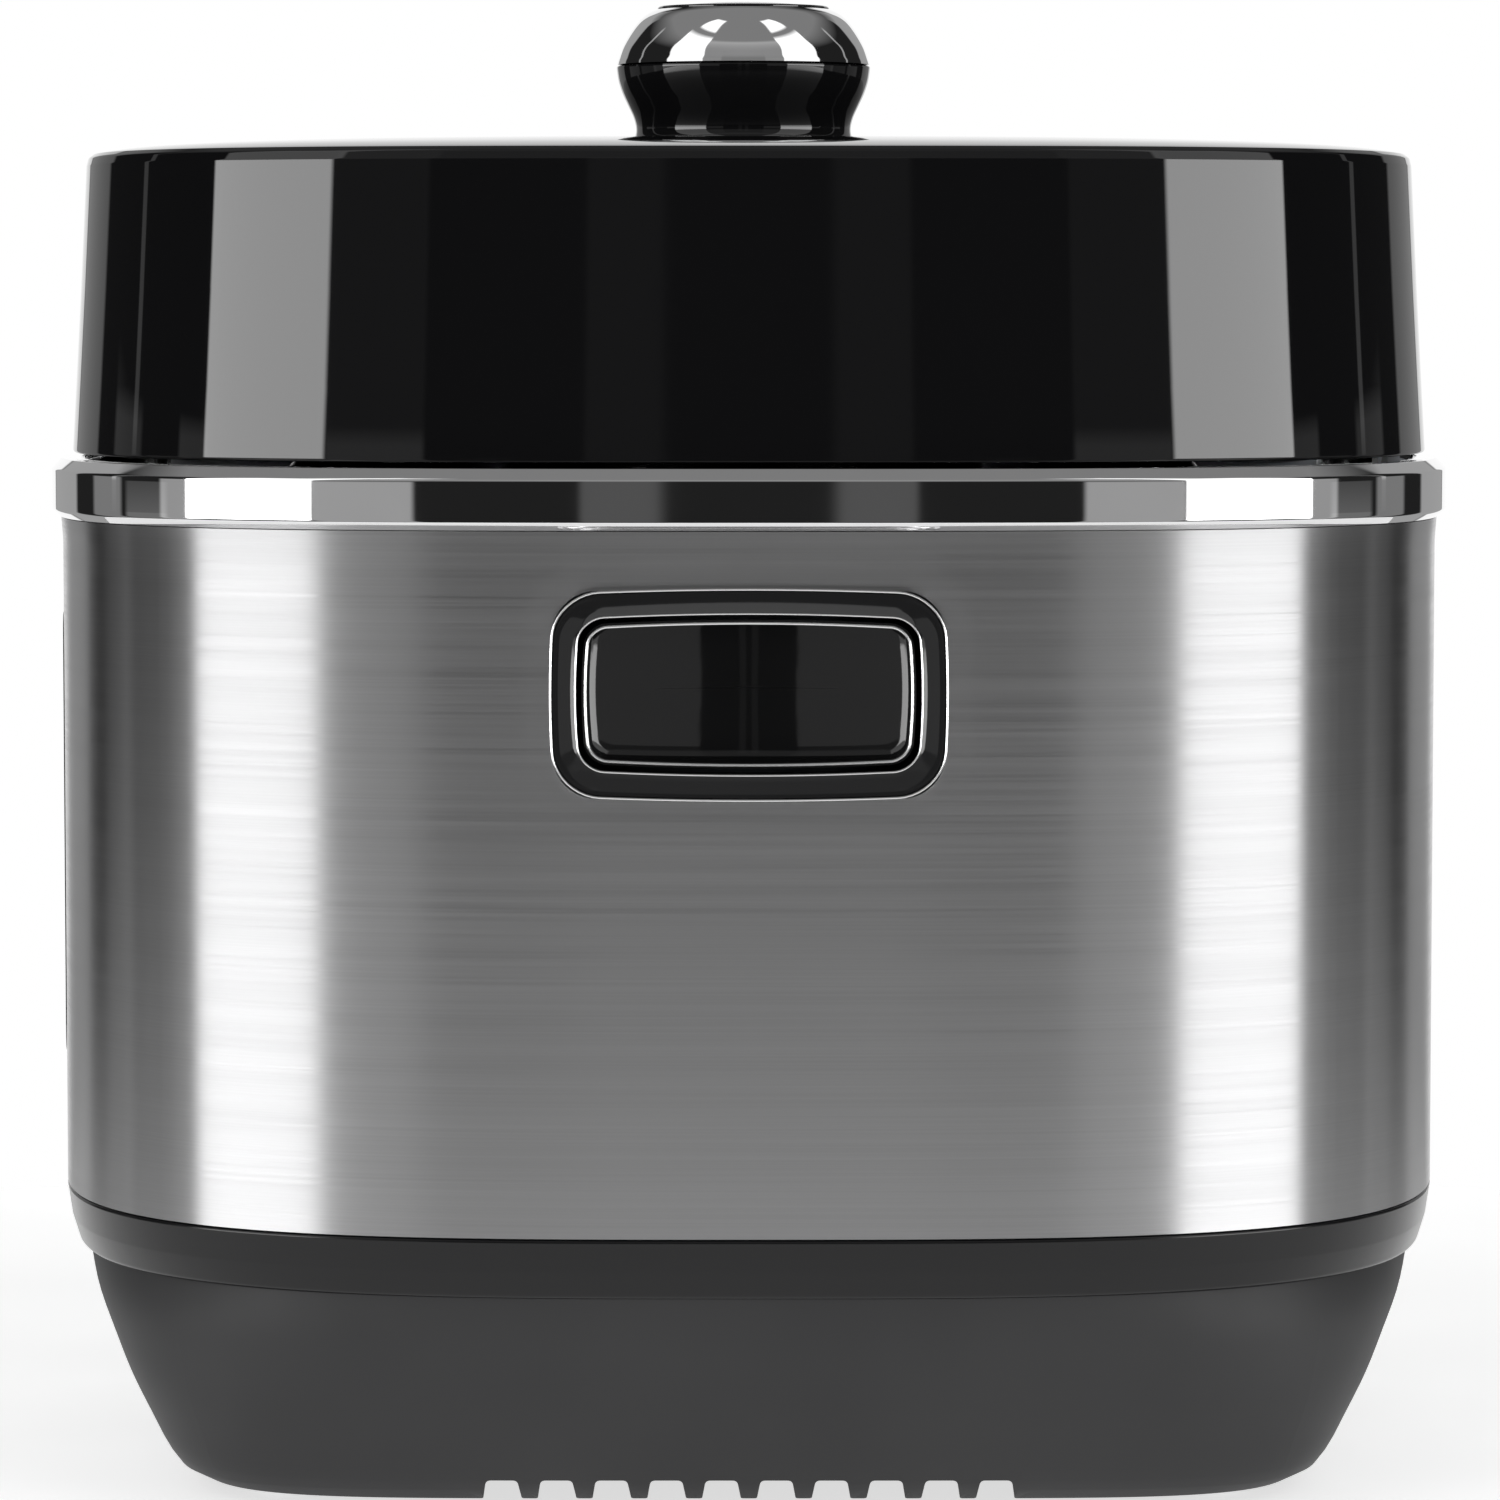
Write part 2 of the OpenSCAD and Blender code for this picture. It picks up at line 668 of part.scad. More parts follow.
seam_z = 305.8;
knob_floor = 300;
grip_side = [
  [25.2, 288.9], [24.4, 290], [24.2, 291.5], [24.7, 293.7],
  [25.8, 296.4], [27.1, 299.1], [28.1, 302.4], [28.5, seam_z]
];
cap_side = [
  [28.5, seam_z], [28.1, 307.2], [27.2, 309.8], [25.8, 312.5],
  [24.1, 315.2], [22.8, 316.6], [20.9, 317.9], [18.9, 318.7]
];

module knob_grip() {
  color([0.05, 0.05, 0.055]) on_axis() rotate_extrude() polygon(concat(
    grip_side, [[25.5, seam_z], [21.5, knob_floor], [shaft_r + 0.02, knob_floor], [shaft_r + 0.02, 288.9]]
  ));
}

module knob_cap() {
  color([0.8, 0.81, 0.83]) on_axis() rotate_extrude() polygon(concat(
    cap_side, [[18.9, 313], [22, 312], [24.6, 309], [25.6, seam_z]]
  ));
}

module knob_shaft() {
  groove_z = 212.4;
  color([0.72, 0.73, 0.75]) on_axis() difference() {
    tube(rod_r + running_gap, shaft_r, 209, knob_floor - 209);
    tube(7.1, shaft_r + 1, groove_z, 1.4);
  }
}

module pressure_lid() {
  lug_span = 26;
  hub = shaft_r + 0.02;
  color([0.78, 0.79, 0.8]) on_axis() difference() {
    union() {
      rotate_extrude() polygon([
        [hub, 215.5], [15, 215.5], [15, dome_z], [92, dome_z], [104, 210], [118, 210], [118, 213],
        [105.5, 213], [93.5, dome_z + 3], [15, dome_z + 3], [15, 228], [hub, 228]
      ]);
      for (k = [0:lug_count - 1]) rotate(60 * k - lug_span / 2)
        rotate_extrude(angle = lug_span) translate([117.5, 210]) square([7.5, 3]);
    }
    rotate(25) translate([60, 0, 215]) cylinder(r = 2.5 + running_gap, h = 20);
    rotate(205) translate([60, 0, 215]) cylinder(r = 2.2, h = 20);
  }
}

// The silicone ring hangs under the lid's rim, just above the cooking pot's flange.
module sealing_ring() {
  color([0.75, 0.74, 0.7]) on_axis() rotate_extrude() polygon([
    [105, 210], [105, 207.6], [108.5, 207.6], [110.5, 206.3], [115, 206.3], [116.5, 208], [116.5, 210]
  ]);
}

module inner_shield() {
  color([0.78, 0.79, 0.8]) on_axis() difference() {
    tube(shaft_r + 0.02, 88, 214, 1.5);
    rotate(25) translate([60, 0, 210]) cylinder(r = 7, h = 10);
    rotate(205) translate([60, 0, 210]) cylinder(r = 7, h = 10);
  }
}

module shaft_circlip() {
  color([0.4, 0.4, 0.42]) on_axis() rotate(20) translate([0, 0, 212.5])
    rotate_extrude(angle = 320) translate([7.15, 0]) square([3.6, 1.2]);
}

// A shallow dome on a skirt, with the push rod's seat underneath.
module release_button() {
  rise = 1.2;
  color([0.55, 0.56, 0.58]) on_axis() rotate_extrude() polygon(concat(
    [[rod_r, 312], [6, 312], [6, 316.2], [16.6, 316.2], [16.6, 309.5], [button_r, 309.5]],
    [for (i = [10:-1:0]) [button_r * i / 10, knob_top - rise * (i / 10) * (i / 10)]],
    [[0, 316.2], [rod_r, 316.2]]
  ));
}

// The rod ends in a valve head below the shaft, which opens when the button goes down.
module push_rod() {
  color([0.7, 0.71, 0.73]) on_axis() {
    translate([0, 0, 208]) cylinder(r = rod_r, h = 316 - 208);
    translate([0, 0, 206.6]) cylinder(r = 7.5, h = 2.2);
  }
}

module release_spring() {
  color([0.75, 0.75, 0.77]) on_axis() coil(11, 0.8, 4, knob_floor + 0.1, 16);
}

// The float's stem runs in the pressure lid and blocks the knob when there is pressure.
module float_valve() {
  color([0.75, 0.2, 0.15]) on_axis() rotate(25) translate([60, 0, 0]) {
    translate([0, 0, 214]) cylinder(r = 5.2, h = 3);
    translate([0, 0, 216]) cylinder(r = 2.5, h = 14);
    translate([0, 0, 225.4]) tube(2.3, 4, 0, 1.6);
  }
}

module limiting_valve() {
  color([0.6, 0.6, 0.62]) on_axis() rotate(205) translate([60, 0, 0]) {
    translate([0, 0, dome_z + 3.3]) cylinder(r = 9, h = 9);
    translate([0, 0, dome_z + 12]) cylinder(r1 = 9, r2 = 6, h = 3);
    translate([0, 0, dome_z + 1]) cylinder(r1 = 1, r2 = 1.9, h = 3);
  }
}

base_housing();
bottom_plate();
rubber_feet();
bottom_screws();
chassis_plate();
steel_shell();
chrome_ring();
deck_plate();
handle_bezel(1);  // handle_bezel_right
handle_bezel(-1);  // handle_bezel_left
handle_trim(1);  // handle_trim_right
handle_trim(-1);  // handle_trim_left
handle_cup(1);  // handle_cup_right
handle_cup(-1);  // handle_cup_left
control_panel();
display_window();
display_module();
control_board();
push_button(-1, 0);  // start_button
push_button(0, 0);  // cancel_button
push_button(1, 0);  // menu_button
push_button(-1, 1);  // timer_button
push_button(0, 1);  // pressure_button
push_button(1, 1);  // warm_button
outer_pot();
heat_shield();
heating_plate();
heating_element();
thermal_fuse();
thermostat_sensor();
sensor_spring();
power_board();
mains_inlet();
inlet_pins();
inlet_screws();
cup_holder();
condensate_cup();
inner_pot();
hinge_bracket();
hinge_pin();
hinge_arm();
lid_cover();
lid_liner();
lid_frame();
lid_screws();
vent_well();
steam_vent_cap();
knob_bush();
knob_grip();
knob_cap();
knob_shaft();
pressure_lid();
sealing_ring();
inner_shield();
shaft_circlip();
release_button();
push_rod();
release_spring();
float_valve();
limiting_valve();
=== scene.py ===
"""Looks of a square electric pressure cooker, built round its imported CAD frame.

The camera stands on the +X side and looks along -X, at one of the two carrying recesses.
Lengths are in metres. MM turns a size in millimetres into metres.
"""

import json
import math

import bpy
import numpy as np
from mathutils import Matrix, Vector
from mathutils.geometry import delaunay_2d_cdt


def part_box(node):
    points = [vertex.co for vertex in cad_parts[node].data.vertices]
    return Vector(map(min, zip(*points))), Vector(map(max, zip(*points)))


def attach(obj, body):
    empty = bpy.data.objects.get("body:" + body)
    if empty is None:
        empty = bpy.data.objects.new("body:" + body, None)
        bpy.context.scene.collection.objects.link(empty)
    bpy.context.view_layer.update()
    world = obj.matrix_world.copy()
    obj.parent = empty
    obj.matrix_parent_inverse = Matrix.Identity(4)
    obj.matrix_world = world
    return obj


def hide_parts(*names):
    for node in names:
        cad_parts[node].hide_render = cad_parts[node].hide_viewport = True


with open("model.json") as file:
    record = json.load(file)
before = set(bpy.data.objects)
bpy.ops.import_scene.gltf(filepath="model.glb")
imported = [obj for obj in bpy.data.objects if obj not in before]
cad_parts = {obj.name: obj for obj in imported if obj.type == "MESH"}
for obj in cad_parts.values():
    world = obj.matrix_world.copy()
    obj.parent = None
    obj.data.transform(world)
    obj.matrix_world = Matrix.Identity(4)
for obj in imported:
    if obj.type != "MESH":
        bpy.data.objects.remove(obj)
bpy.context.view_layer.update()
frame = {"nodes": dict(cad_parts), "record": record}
MM = 0.001

# ---- driving sizes, from the frame ----

POWER = 3.3                                    # squareness of the body's outline in plan
SHELL_LOW, SHELL_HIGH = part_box("steel_shell")
HALF = SHELL_HIGH.x                            # half width of the steel shell
RING_LOW, RING_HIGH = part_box("chrome_ring")
LID_LOW, LID_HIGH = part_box("lid_cover")
KNOB_LOW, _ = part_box("knob_grip")
CAP_LOW, CAP_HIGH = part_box("knob_cap")
BUTTON_LOW, BUTTON_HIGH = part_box("release_button")
TRIM_LOW, TRIM_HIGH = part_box("handle_trim_right")
POCKET_LOW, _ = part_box("handle_cup_right")
PANEL_LOW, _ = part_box("control_panel")
AXIS_Y = (CAP_LOW.y + CAP_HIGH.y) / 2          # the knob stands slightly in front of the middle
BAND_TOP = SHELL_LOW.z                         # the base's band meets the steel here
FACE = -PANEL_LOW.y                            # the panel's face follows the body at this half width
SLOTS = {s["node"]: s["material_slot"] for s in frame["record"]["subparts"]}


# ---- outlines and profiles ----

def se_radius(half, power, angle):
    """Distance from the middle to a superellipse in the direction of angle."""
    c, s = np.abs(np.cos(angle)), np.abs(np.sin(angle))
    return half / (c ** power + s ** power) ** (1 / power)


def se_depth(half, across):
    """Distance of the body's flat side from the middle plane, at a sideways distance across."""
    return half * (1 - np.abs(np.asarray(across) / half) ** POWER) ** (1 / POWER)


def fillet(points, steps=6):
    """Rounds a polyline. Each point is (r, z, radius); a radius of 0 keeps the corner sharp."""
    out = []
    for i, (r, z, radius) in enumerate(points):
        p = np.array([r, z], float)
        if radius == 0 or i in (0, len(points) - 1):
            out.append(p)
            continue
        a = np.array(points[i - 1][:2], float) - p
        b = np.array(points[i + 1][:2], float) - p
        la, lb = np.linalg.norm(a), np.linalg.norm(b)
        a, b = a / la, b / lb
        half_angle = math.acos(max(-1, min(1, float(a @ b)))) / 2
        cut = min(radius / math.tan(half_angle), 0.49 * la, 0.49 * lb)
        start, end = p + a * cut, p + b * cut
        for k in range(steps + 1):
            t = k / steps
            out.append((1 - t) ** 2 * start + 2 * t * (1 - t) * p + t * t * end)
    return [tuple(q) for q in out]


def spline(points, steps=4):
    """A smooth curve through points, with steps parts between each two."""
    p = np.array(points, float)
    slope = np.gradient(p, axis=0)
    out = []
    for i in range(len(p) - 1):
        for k in range(steps):
            s = k / steps
            h = (2 * s**3 - 3 * s**2 + 1, s**3 - 2 * s**2 + s, -2 * s**3 + 3 * s**2, s**3 - s**2)
            out.append(tuple(h[0] * p[i] + h[1] * slope[i] + h[2] * p[i + 1] + h[3] * slope[i + 1]))
    out.append(tuple(p[-1]))
    return out


def bowed_outline(width, height, radius, bow_x=0.0, bow_z=0.0, steps=10, side=10):
    """A rounded rectangle as an anticlockwise array of (x, z). Its corners come in by the two bows."""
    radius = max(radius, 1e-5)
    w, h = width / 2 - radius, height / 2 - radius
    out = []
    for corner, (sx, sz) in enumerate([(1, 1), (-1, 1), (-1, -1), (1, -1)]):
        for k in range(steps + 1):
            a = math.pi / 2 * (corner + k / steps)
            out.append((sx * w + radius * math.cos(a), sz * h + radius * math.sin(a)))
        along_x = corner in (0, 2)
        for k in range(1, side):
            f = 1 - 2 * k / side
            if along_x:
                out.append((sx * w * f, sz * height / 2))
            else:
                out.append((sx * width / 2, sz * h * f))
    p = np.array(out)
    x, z = p[:, 0] / (width / 2), p[:, 1] / (height / 2)
    return p - np.stack([bow_x * x * z ** 2, bow_z * z * x ** 2], 1)


# ---- meshes ----

def make_piece(name, points, faces, material, body, *nodes, slot=None, sharp=math.radians(32)):
    """Builds a piece on a body. It stands for the nodes named. slot is not used."""
    mesh = bpy.data.meshes.new(name)
    mesh.from_pydata([tuple(map(float, p)) for p in points], [], faces)
    mesh.validate()
    mesh.shade_smooth()
    mesh.set_sharp_from_angle(angle=sharp)
    obj = bpy.data.objects.new(name, mesh)
    bpy.context.scene.collection.objects.link(obj)
    mesh.materials.append(material)
    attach(obj, body)
    if nodes:
        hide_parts(*nodes)
    return obj


def merge(*parts):
    """Joins (points, faces) pairs into one pair."""
    points, faces = [], []
    for p, f in parts:
        faces += [tuple(i + len(points) for i in face) for face in f]
        points += [tuple(q) for q in p]
    return points, faces


def bridge(levels, count, closed=False):
    """Faces between each ring of count points and the next. closed joins the last ring to the first."""
    faces = []
    for j in range(levels if closed else levels - 1):
        a, b = j * count, (j + 1) % levels * count
        faces += [(a + i, a + (i + 1) % count, b + (i + 1) % count, b + i) for i in range(count)]
    return faces


def loft(rings, count, closed=False):
    """A skin through rings (half, power, z, shift), each a superellipse in plan, shifted along Y."""
    angle = np.arange(count) * 2 * math.pi / count
    points = []
    for half, power, z, shift in rings:
        r = se_radius(half, power, angle)
        points += list(zip(r * np.cos(angle), r * np.sin(angle) + shift, np.full(count, z)))
    return points, bridge(len(rings), count, closed)


def revolve(profile, centre, count=128, closed=False):
    """A round skin from (r, z) points, about a vertical axis."""
    points, faces = loft([(max(r, 1e-6), 2, z, 0) for r, z in profile], count, closed)
    return [(x + centre[0], y + centre[1], z) for x, y, z in points], faces


def inside(points, loop):
    """True for each point that lies inside a closed 2-D loop."""
    x, y = points[:, 0], points[:, 1]
    hit = np.zeros(len(points), bool)
    for (x1, y1), (x2, y2) in zip(loop, np.roll(loop, -1, 0)):
        if y1 != y2:
            hit ^= ((y1 > y) != (y2 > y)) & (x < (x2 - x1) * (y - y1) / (y2 - y1) + x1)
    return hit


def fill(outline, holes, step, rims=()):
    """Triangulates a flat area with holes, on a grid of spacing step. rims are extra loops to keep."""
    loops = [np.asarray(outline)] + [np.asarray(h) for h in holes]
    kept = loops + [np.asarray(r) for r in rims]
    low, high = loops[0].min(0), loops[0].max(0)
    columns = np.linspace(low[0], high[0], max(2, int((high[0] - low[0]) / step[0])) + 1)[1:-1]
    rows = np.linspace(low[1], high[1], max(2, int((high[1] - low[1]) / step[1])) + 1)[1:-1]
    grid = np.array([(x, y) for x in columns for y in rows])
    keep = inside(grid, loops[0])
    for hole in loops[1:]:
        keep &= ~inside(grid, hole)
    ends = np.concatenate(kept)
    gap = 0.4 * min(step)                      # grid points closer than this to a loop are left out
    for k in np.flatnonzero(keep):
        keep[k] = np.min(np.abs(ends - grid[k]).max(1)) > gap
    coords, edges = [], []
    for loop in kept:
        first = len(coords)
        coords += [Vector(map(float, p)) for p in loop]
        edges += [(first + i, first + (i + 1) % len(loop)) for i in range(len(loop))]
    coords += [Vector(map(float, p)) for p in grid[keep]]
    verts, _, tris, *_ = delaunay_2d_cdt(coords, edges, [], 0, 1e-7)
    flat = np.array([tuple(v) for v in verts])
    centres = np.array([flat[list(t)].mean(0) for t in tris])
    good = inside(centres, loops[0])
    for hole in loops[1:]:
        good &= ~inside(centres, hole)
    return flat, [tuple(t) for t, g in zip(tris, good) if g]


def thicken(flat, tris, place, thickness):
    """Turns a flat triangulation into a closed shell. place maps (n, 2) points to its outer side."""
    eps = 1e-5                                 # step for the slopes of place
    outer = place(flat)
    du = place(flat + [eps, 0]) - place(flat - [eps, 0])
    dv = place(flat + [0, eps]) - place(flat - [0, eps])
    normal = np.cross(du, dv)
    normal /= np.linalg.norm(normal, axis=1)[:, None]
    inner = outer - normal * thickness
    count = len(flat)
    faces = []
    edges = {}                                 # used as a set that keeps its order
    for t in tris:
        a, b, c = (flat[i] for i in t)
        if (b[0] - a[0]) * (c[1] - a[1]) - (b[1] - a[1]) * (c[0] - a[0]) < 0:
            t = t[::-1]
        faces.append(t)
        faces.append(tuple(i + count for i in t[::-1]))
        for i in range(3):
            edges[(t[i], t[(i + 1) % 3])] = True
    for a, b in edges:
        if (b, a) not in edges:
            faces.append((b, a, a + count, b + count))
    return [tuple(p) for p in np.concatenate([outer, inner])], faces


def box(low, high):
    """A box between two opposite corners, as (points, faces)."""
    points = [(x, y, z) for z in (low[2], high[2]) for y in (low[1], high[1]) for x in (low[0], high[0])]
    faces = [(0, 2, 3, 1), (4, 5, 7, 6), (0, 1, 5, 4), (2, 6, 7, 3), (0, 4, 6, 2), (1, 3, 7, 5)]
    return points, faces


def cut_away(piece, points, faces):
    """Cuts a closed solid out of a piece, for good."""
    mesh = bpy.data.meshes.new("cutter")
    mesh.from_pydata(points, [], faces)
    cutter = bpy.data.objects.new("cutter", mesh)
    bpy.context.scene.collection.objects.link(cutter)
    cut = piece.modifiers.new("cut", "BOOLEAN")
    cut.object, cut.operation, cut.solver = cutter, "DIFFERENCE", "EXACT"
    bpy.context.view_layer.update()
    graph = bpy.context.evaluated_depsgraph_get()
    done = bpy.data.meshes.new_from_object(piece.evaluated_get(graph))
    piece.modifiers.clear()
    piece.data = done
    bpy.data.objects.remove(cutter)


# ---- materials ----

def new_material(name):
    """A material with one Principled shader, as (material, tree, shader)."""
    material = bpy.data.materials.new(name)
    material.use_nodes = True
    tree = material.node_tree
    tree.nodes.clear()
    out = tree.nodes.new("ShaderNodeOutputMaterial")
    shader = tree.nodes.new("ShaderNodeBsdfPrincipled")
    tree.links.new(shader.outputs[0], out.inputs[0])
    return material, tree, shader


def add(tree, kind, **inputs):
    """Adds a node; inputs named by socket are set, or linked where a socket is given."""
    node = tree.nodes.new(kind)
    for key, value in inputs.items():
        socket = node.inputs[key.replace("_", " ")]
        if isinstance(value, bpy.types.NodeSocket):
            tree.links.new(value, socket)
        else:
            socket.default_value = value
    return node


def grain(tree, scale, detail=3.0, stretch=(1, 1, 1)):
    """Noise in the object's own coordinates, stretched along its axes."""
    where = tree.nodes.new("ShaderNodeTexCoord")
    mapping = add(tree, "ShaderNodeMapping", Vector=where.outputs["Object"])
    mapping.inputs["Scale"].default_value = stretch
    noise = add(tree, "ShaderNodeTexNoise", Vector=mapping.outputs[0], Scale=scale, Detail=detail)
    return noise.outputs["Fac"]


def maths(tree, operation, *values):
    """A Math node on values, each a number or a socket."""
    node = tree.nodes.new("ShaderNodeMath")
    node.operation = operation
    for socket, value in zip(node.inputs, values):
        if isinstance(value, bpy.types.NodeSocket):
            tree.links.new(value, socket)
        else:
            socket.default_value = value
    return node.outputs[0]


def spread(tree, value, low, high):
    """Noise, which seldom leaves 0.3 to 0.7, spread over low to high."""
    return add(tree, "ShaderNodeMapRange", Value=value, From_Min=0.3, From_Max=0.7, To_Min=low,
               To_Max=high).outputs[0]


def tinted(tree, value, dark, light):
    """A colour between dark and light."""
    node = add(tree, "ShaderNodeMix")
    node.data_type = "RGBA"
    tree.links.new(value, node.inputs[0])
    node.inputs[6].default_value = (*dark, 1)  # sockets 6 and 7 are the two colours
    node.inputs[7].default_value = (*light, 1)
    return node.outputs[2]


def bump(tree, shader, height, strength, distance):
    """Makes the surface rise with height."""
    node = add(tree, "ShaderNodeBump", Height=height, Strength=strength, Distance=distance)
    tree.links.new(node.outputs[0], shader.inputs["Normal"])


def clouded(name, color, roughness, scale, detail, dark):
    """A material with clouds, in which its colour falls to dark times itself and its roughness varies."""
    material, tree, shader = new_material(name)
    cloud = grain(tree, scale, detail)
    tree.links.new(tinted(tree, cloud, [c * dark for c in color], color), shader.inputs["Base Color"])
    tree.links.new(spread(tree, cloud, roughness * 0.85, roughness * 1.15), shader.inputs["Roughness"])
    return material, tree, shader


def brushed(name, color, roughness, lines):
    """Sheet metal with fine level brushing all round, which blurs its reflections up and down."""
    material, tree, shader = new_material(name)
    fine = grain(tree, 1.0, 4, (9, 9, lines))
    broad = grain(tree, 1.0, 2, (3, 3, lines / 9))
    streak = maths(tree, "MULTIPLY_ADD", fine, 0.7, maths(tree, "MULTIPLY", broad, 0.3))
    dark, light = [c * 0.76 for c in color], [c * 1.06 for c in color]
    tree.links.new(tinted(tree, streak, dark, light), shader.inputs["Base Color"])
    tree.links.new(spread(tree, streak, roughness * 0.85, roughness * 1.15), shader.inputs["Roughness"])
    shader.inputs["Metallic"].default_value = 1.0
    shader.inputs["Anisotropic"].default_value = 1.0
    shader.inputs["Anisotropic Rotation"].default_value = 0.25
    tangent = tree.nodes.new("ShaderNodeTangent")
    tangent.direction_type = "RADIAL"
    tangent.axis = "Z"
    tree.links.new(tangent.outputs[0], shader.inputs["Tangent"])
    bump(tree, shader, streak, 0.12, 0.00005)
    return material


def metal(name, color, roughness, bumps=0.0):
    """Metal with a faint unevenness in its polish. bumps is the strength of a cast or rolled grain."""
    material, tree, shader = clouded(name, color, roughness, 60, 4, 0.94)
    shader.inputs["Metallic"].default_value = 1.0
    if bumps:
        bump(tree, shader, grain(tree, 900, 2), bumps, 0.0001)
    return material


def plastic(name, color, roughness, texture=0.0, coat=0.0, ior=1.5):
    """Moulded plastic or rubber. texture is the strength of its fine moulded grain."""
    material, tree, shader = clouded(name, color, roughness, 14, 3, 0.9)
    shader.inputs["IOR"].default_value = ior
    shader.inputs["Coat Weight"].default_value = coat
    shader.inputs["Coat Roughness"].default_value = 0.02
    if texture:
        bump(tree, shader, grain(tree, 1500, 2), texture, 0.0001)
    return material


STEEL = brushed("brushed_steel_look", (0.54, 0.54, 0.545), 0.35, lines=2600)
CHROME = metal("chrome_look", (0.83, 0.83, 0.835), 0.035)
# Bright metal for the recess's real trim, and for two beads that are painted highlights on the edges of the
# recess's step and rim.
TRIM_AND_HIGHLIGHT_METAL = metal("trim_and_painted_highlight_look", (0.78, 0.78, 0.78), 0.25)
BLACK = plastic("piano_black_look", (0.006, 0.006, 0.0065), 0.03)
BLACK_SATIN = plastic("black_satin_look", (0.02, 0.02, 0.021), 0.35, texture=0.1)
RECESS_BLACK = plastic("recess_black_look", (0.015, 0.015, 0.0155), 0.05, ior=1.52)
WINDOW = plastic("window_look", (0.008, 0.009, 0.01), 0.02, coat=0.5)
KEY_BLACK = plastic("key_look", (0.02, 0.02, 0.021), 0.22, texture=0.05)
PRINT = plastic("print_look", (0.6, 0.61, 0.62), 0.4)
BASE_GREY = plastic("base_plastic_look", (0.0175, 0.0175, 0.0185), 0.6, texture=0.12)
BAND_GREY = plastic("base_band_look", (0.006, 0.006, 0.0065), 0.2, ior=1.4)
BUTTON_METAL = metal("button_metal_look", (0.42, 0.42, 0.43), 0.22)

# ---- body shell, ring and base ----

RIGHT, REAR, LEFT, FRONT = range(4)            # quarter turns from the +X side
SHEET = 0.8 * MM                               # thickness of the steel
FLARE, FLARE_HEIGHT = 0.4 * MM, 6 * MM         # the steel's upper edge turns out
DENT, DENT_WIDTH = 0.35 * MM, 6 * MM           # the steel sinks in round a recess
RECESS_RADIUS = 9.2 * MM                       # corners of the opening for a recess
ROUND = 384                                    # points round the ring, the band and the lid


def to_side(across, z):
    """A point on a flat side, as the side's own coordinates (half * tan(angle), z)."""
    return np.stack([HALF * across / se_depth(HALF, across), z], 1)


def turned(points, quarter):
    """Points turned about the vertical axis by quarter turns."""
    c, s = [(1, 0), (0, 1), (-1, 0), (0, -1)][quarter]
    p = np.asarray(points)
    return np.stack([p[:, 0] * c - p[:, 1] * s, p[:, 0] * s + p[:, 1] * c, p[:, 2]], 1)


def opening_on(quarter, node, grow, radius):
    """The outline of a node's front, as seen from its side of the body."""
    low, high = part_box(node)
    a, b = (low.y, high.y) if quarter in (RIGHT, LEFT) else (low.x, high.x)
    across = (a + b) / 2 if quarter in (RIGHT, FRONT) else -(a + b) / 2
    loop = bowed_outline(b - a + 2 * grow, high.z - low.z + 2 * grow, radius)
    return across + loop[:, 0], (low.z + high.z) / 2 + loop[:, 1]


def shell_side(quarter, openings, low, high, dented=False):
    """A quarter of the steel body, with openings. dented sinks it in round them."""
    outline = [(-HALF, low), (HALF, low), (HALF, high), (-HALF, high)]
    edge = []
    for (x1, y1), (x2, y2) in zip(outline, outline[1:] + outline[:1]):
        steps = 75 if x1 != x2 else 29
        edge += [(x1 + (x2 - x1) * k / steps, y1 + (y2 - y1) * k / steps) for k in range(steps)]
    holes = [to_side(*o) for o in openings]
    boxes = [((hole.min(0) + hole.max(0)) / 2, (hole.max(0) - hole.min(0)) / 2) for hole in holes]
    rims = []
    if dented:
        rims = [middle + (hole - middle) * (1 + reach * MM / size)
                for hole, (middle, size) in zip(holes, boxes) for reach in (1.5, 3.5, 6)]
    flat, tris = fill(edge, holes, (4 * MM, 5 * MM), rims)

    def place(p):
        angle = np.arctan2(p[:, 0], HALF)
        r = se_radius(HALF, POWER, angle)
        r = r + FLARE * np.clip((p[:, 1] - high + FLARE_HEIGHT) / FLARE_HEIGHT, 0, 1) ** 2
        out = np.stack([r * np.cos(angle), r * np.sin(angle), p[:, 1]], 1)
        if dented:
            corner = 9.5 * MM                  # the dent's own corners, a little rounder than the opening's
            for middle, size in boxes:
                past = np.maximum(np.abs(p - middle) - size + corner, 0)
                reach = np.linalg.norm(past, axis=1) - corner
                fall = np.clip(1 - reach / DENT_WIDTH, 0, 1)
                out[:, 0] -= DENT * fall * fall * (3 - 2 * fall)
        return out

    points, faces = thicken(flat, tris, place, SHEET)
    return turned(points, quarter), faces


def inlet_opening():
    """The outline of the mains inlet's opening at the rear."""
    low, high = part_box("mains_inlet")
    loop = bowed_outline(29 * MM, 21 * MM, 3 * MM)
    return -(low.x + high.x) / 2 + loop[:, 0], (low.z + high.z) / 2 + loop[:, 1]


def build_shell():
    """The brushed steel body in four sides, with its openings."""
    low, high = SHELL_LOW.z + 0.25 * MM, SHELL_HIGH.z
    inward, gap = -0.6 * MM, 0.2 * MM          # a recess's trim covers its opening's edge, a panel fits in it
    right = opening_on(RIGHT, "handle_trim_right", inward, RECESS_RADIUS)
    left = opening_on(LEFT, "handle_trim_left", inward, RECESS_RADIUS)
    cup = opening_on(REAR, "cup_holder", gap, 3 * MM)
    panel = opening_on(FRONT, "control_panel", gap, 11 * MM)
    parts = [
        shell_side(RIGHT, [right], low, high, True), shell_side(REAR, [cup, inlet_opening()], low, high),
        shell_side(LEFT, [left], low, high, True), shell_side(FRONT, [panel], low, high),
    ]
    make_piece("steel_body", *merge(*parts), STEEL, "housing", "steel_shell")


def body_loft(profile):
    """A closed skin round the body through (half width, z) points."""
    return loft([(r, POWER, z, 0) for r, z in profile], ROUND, closed=True)


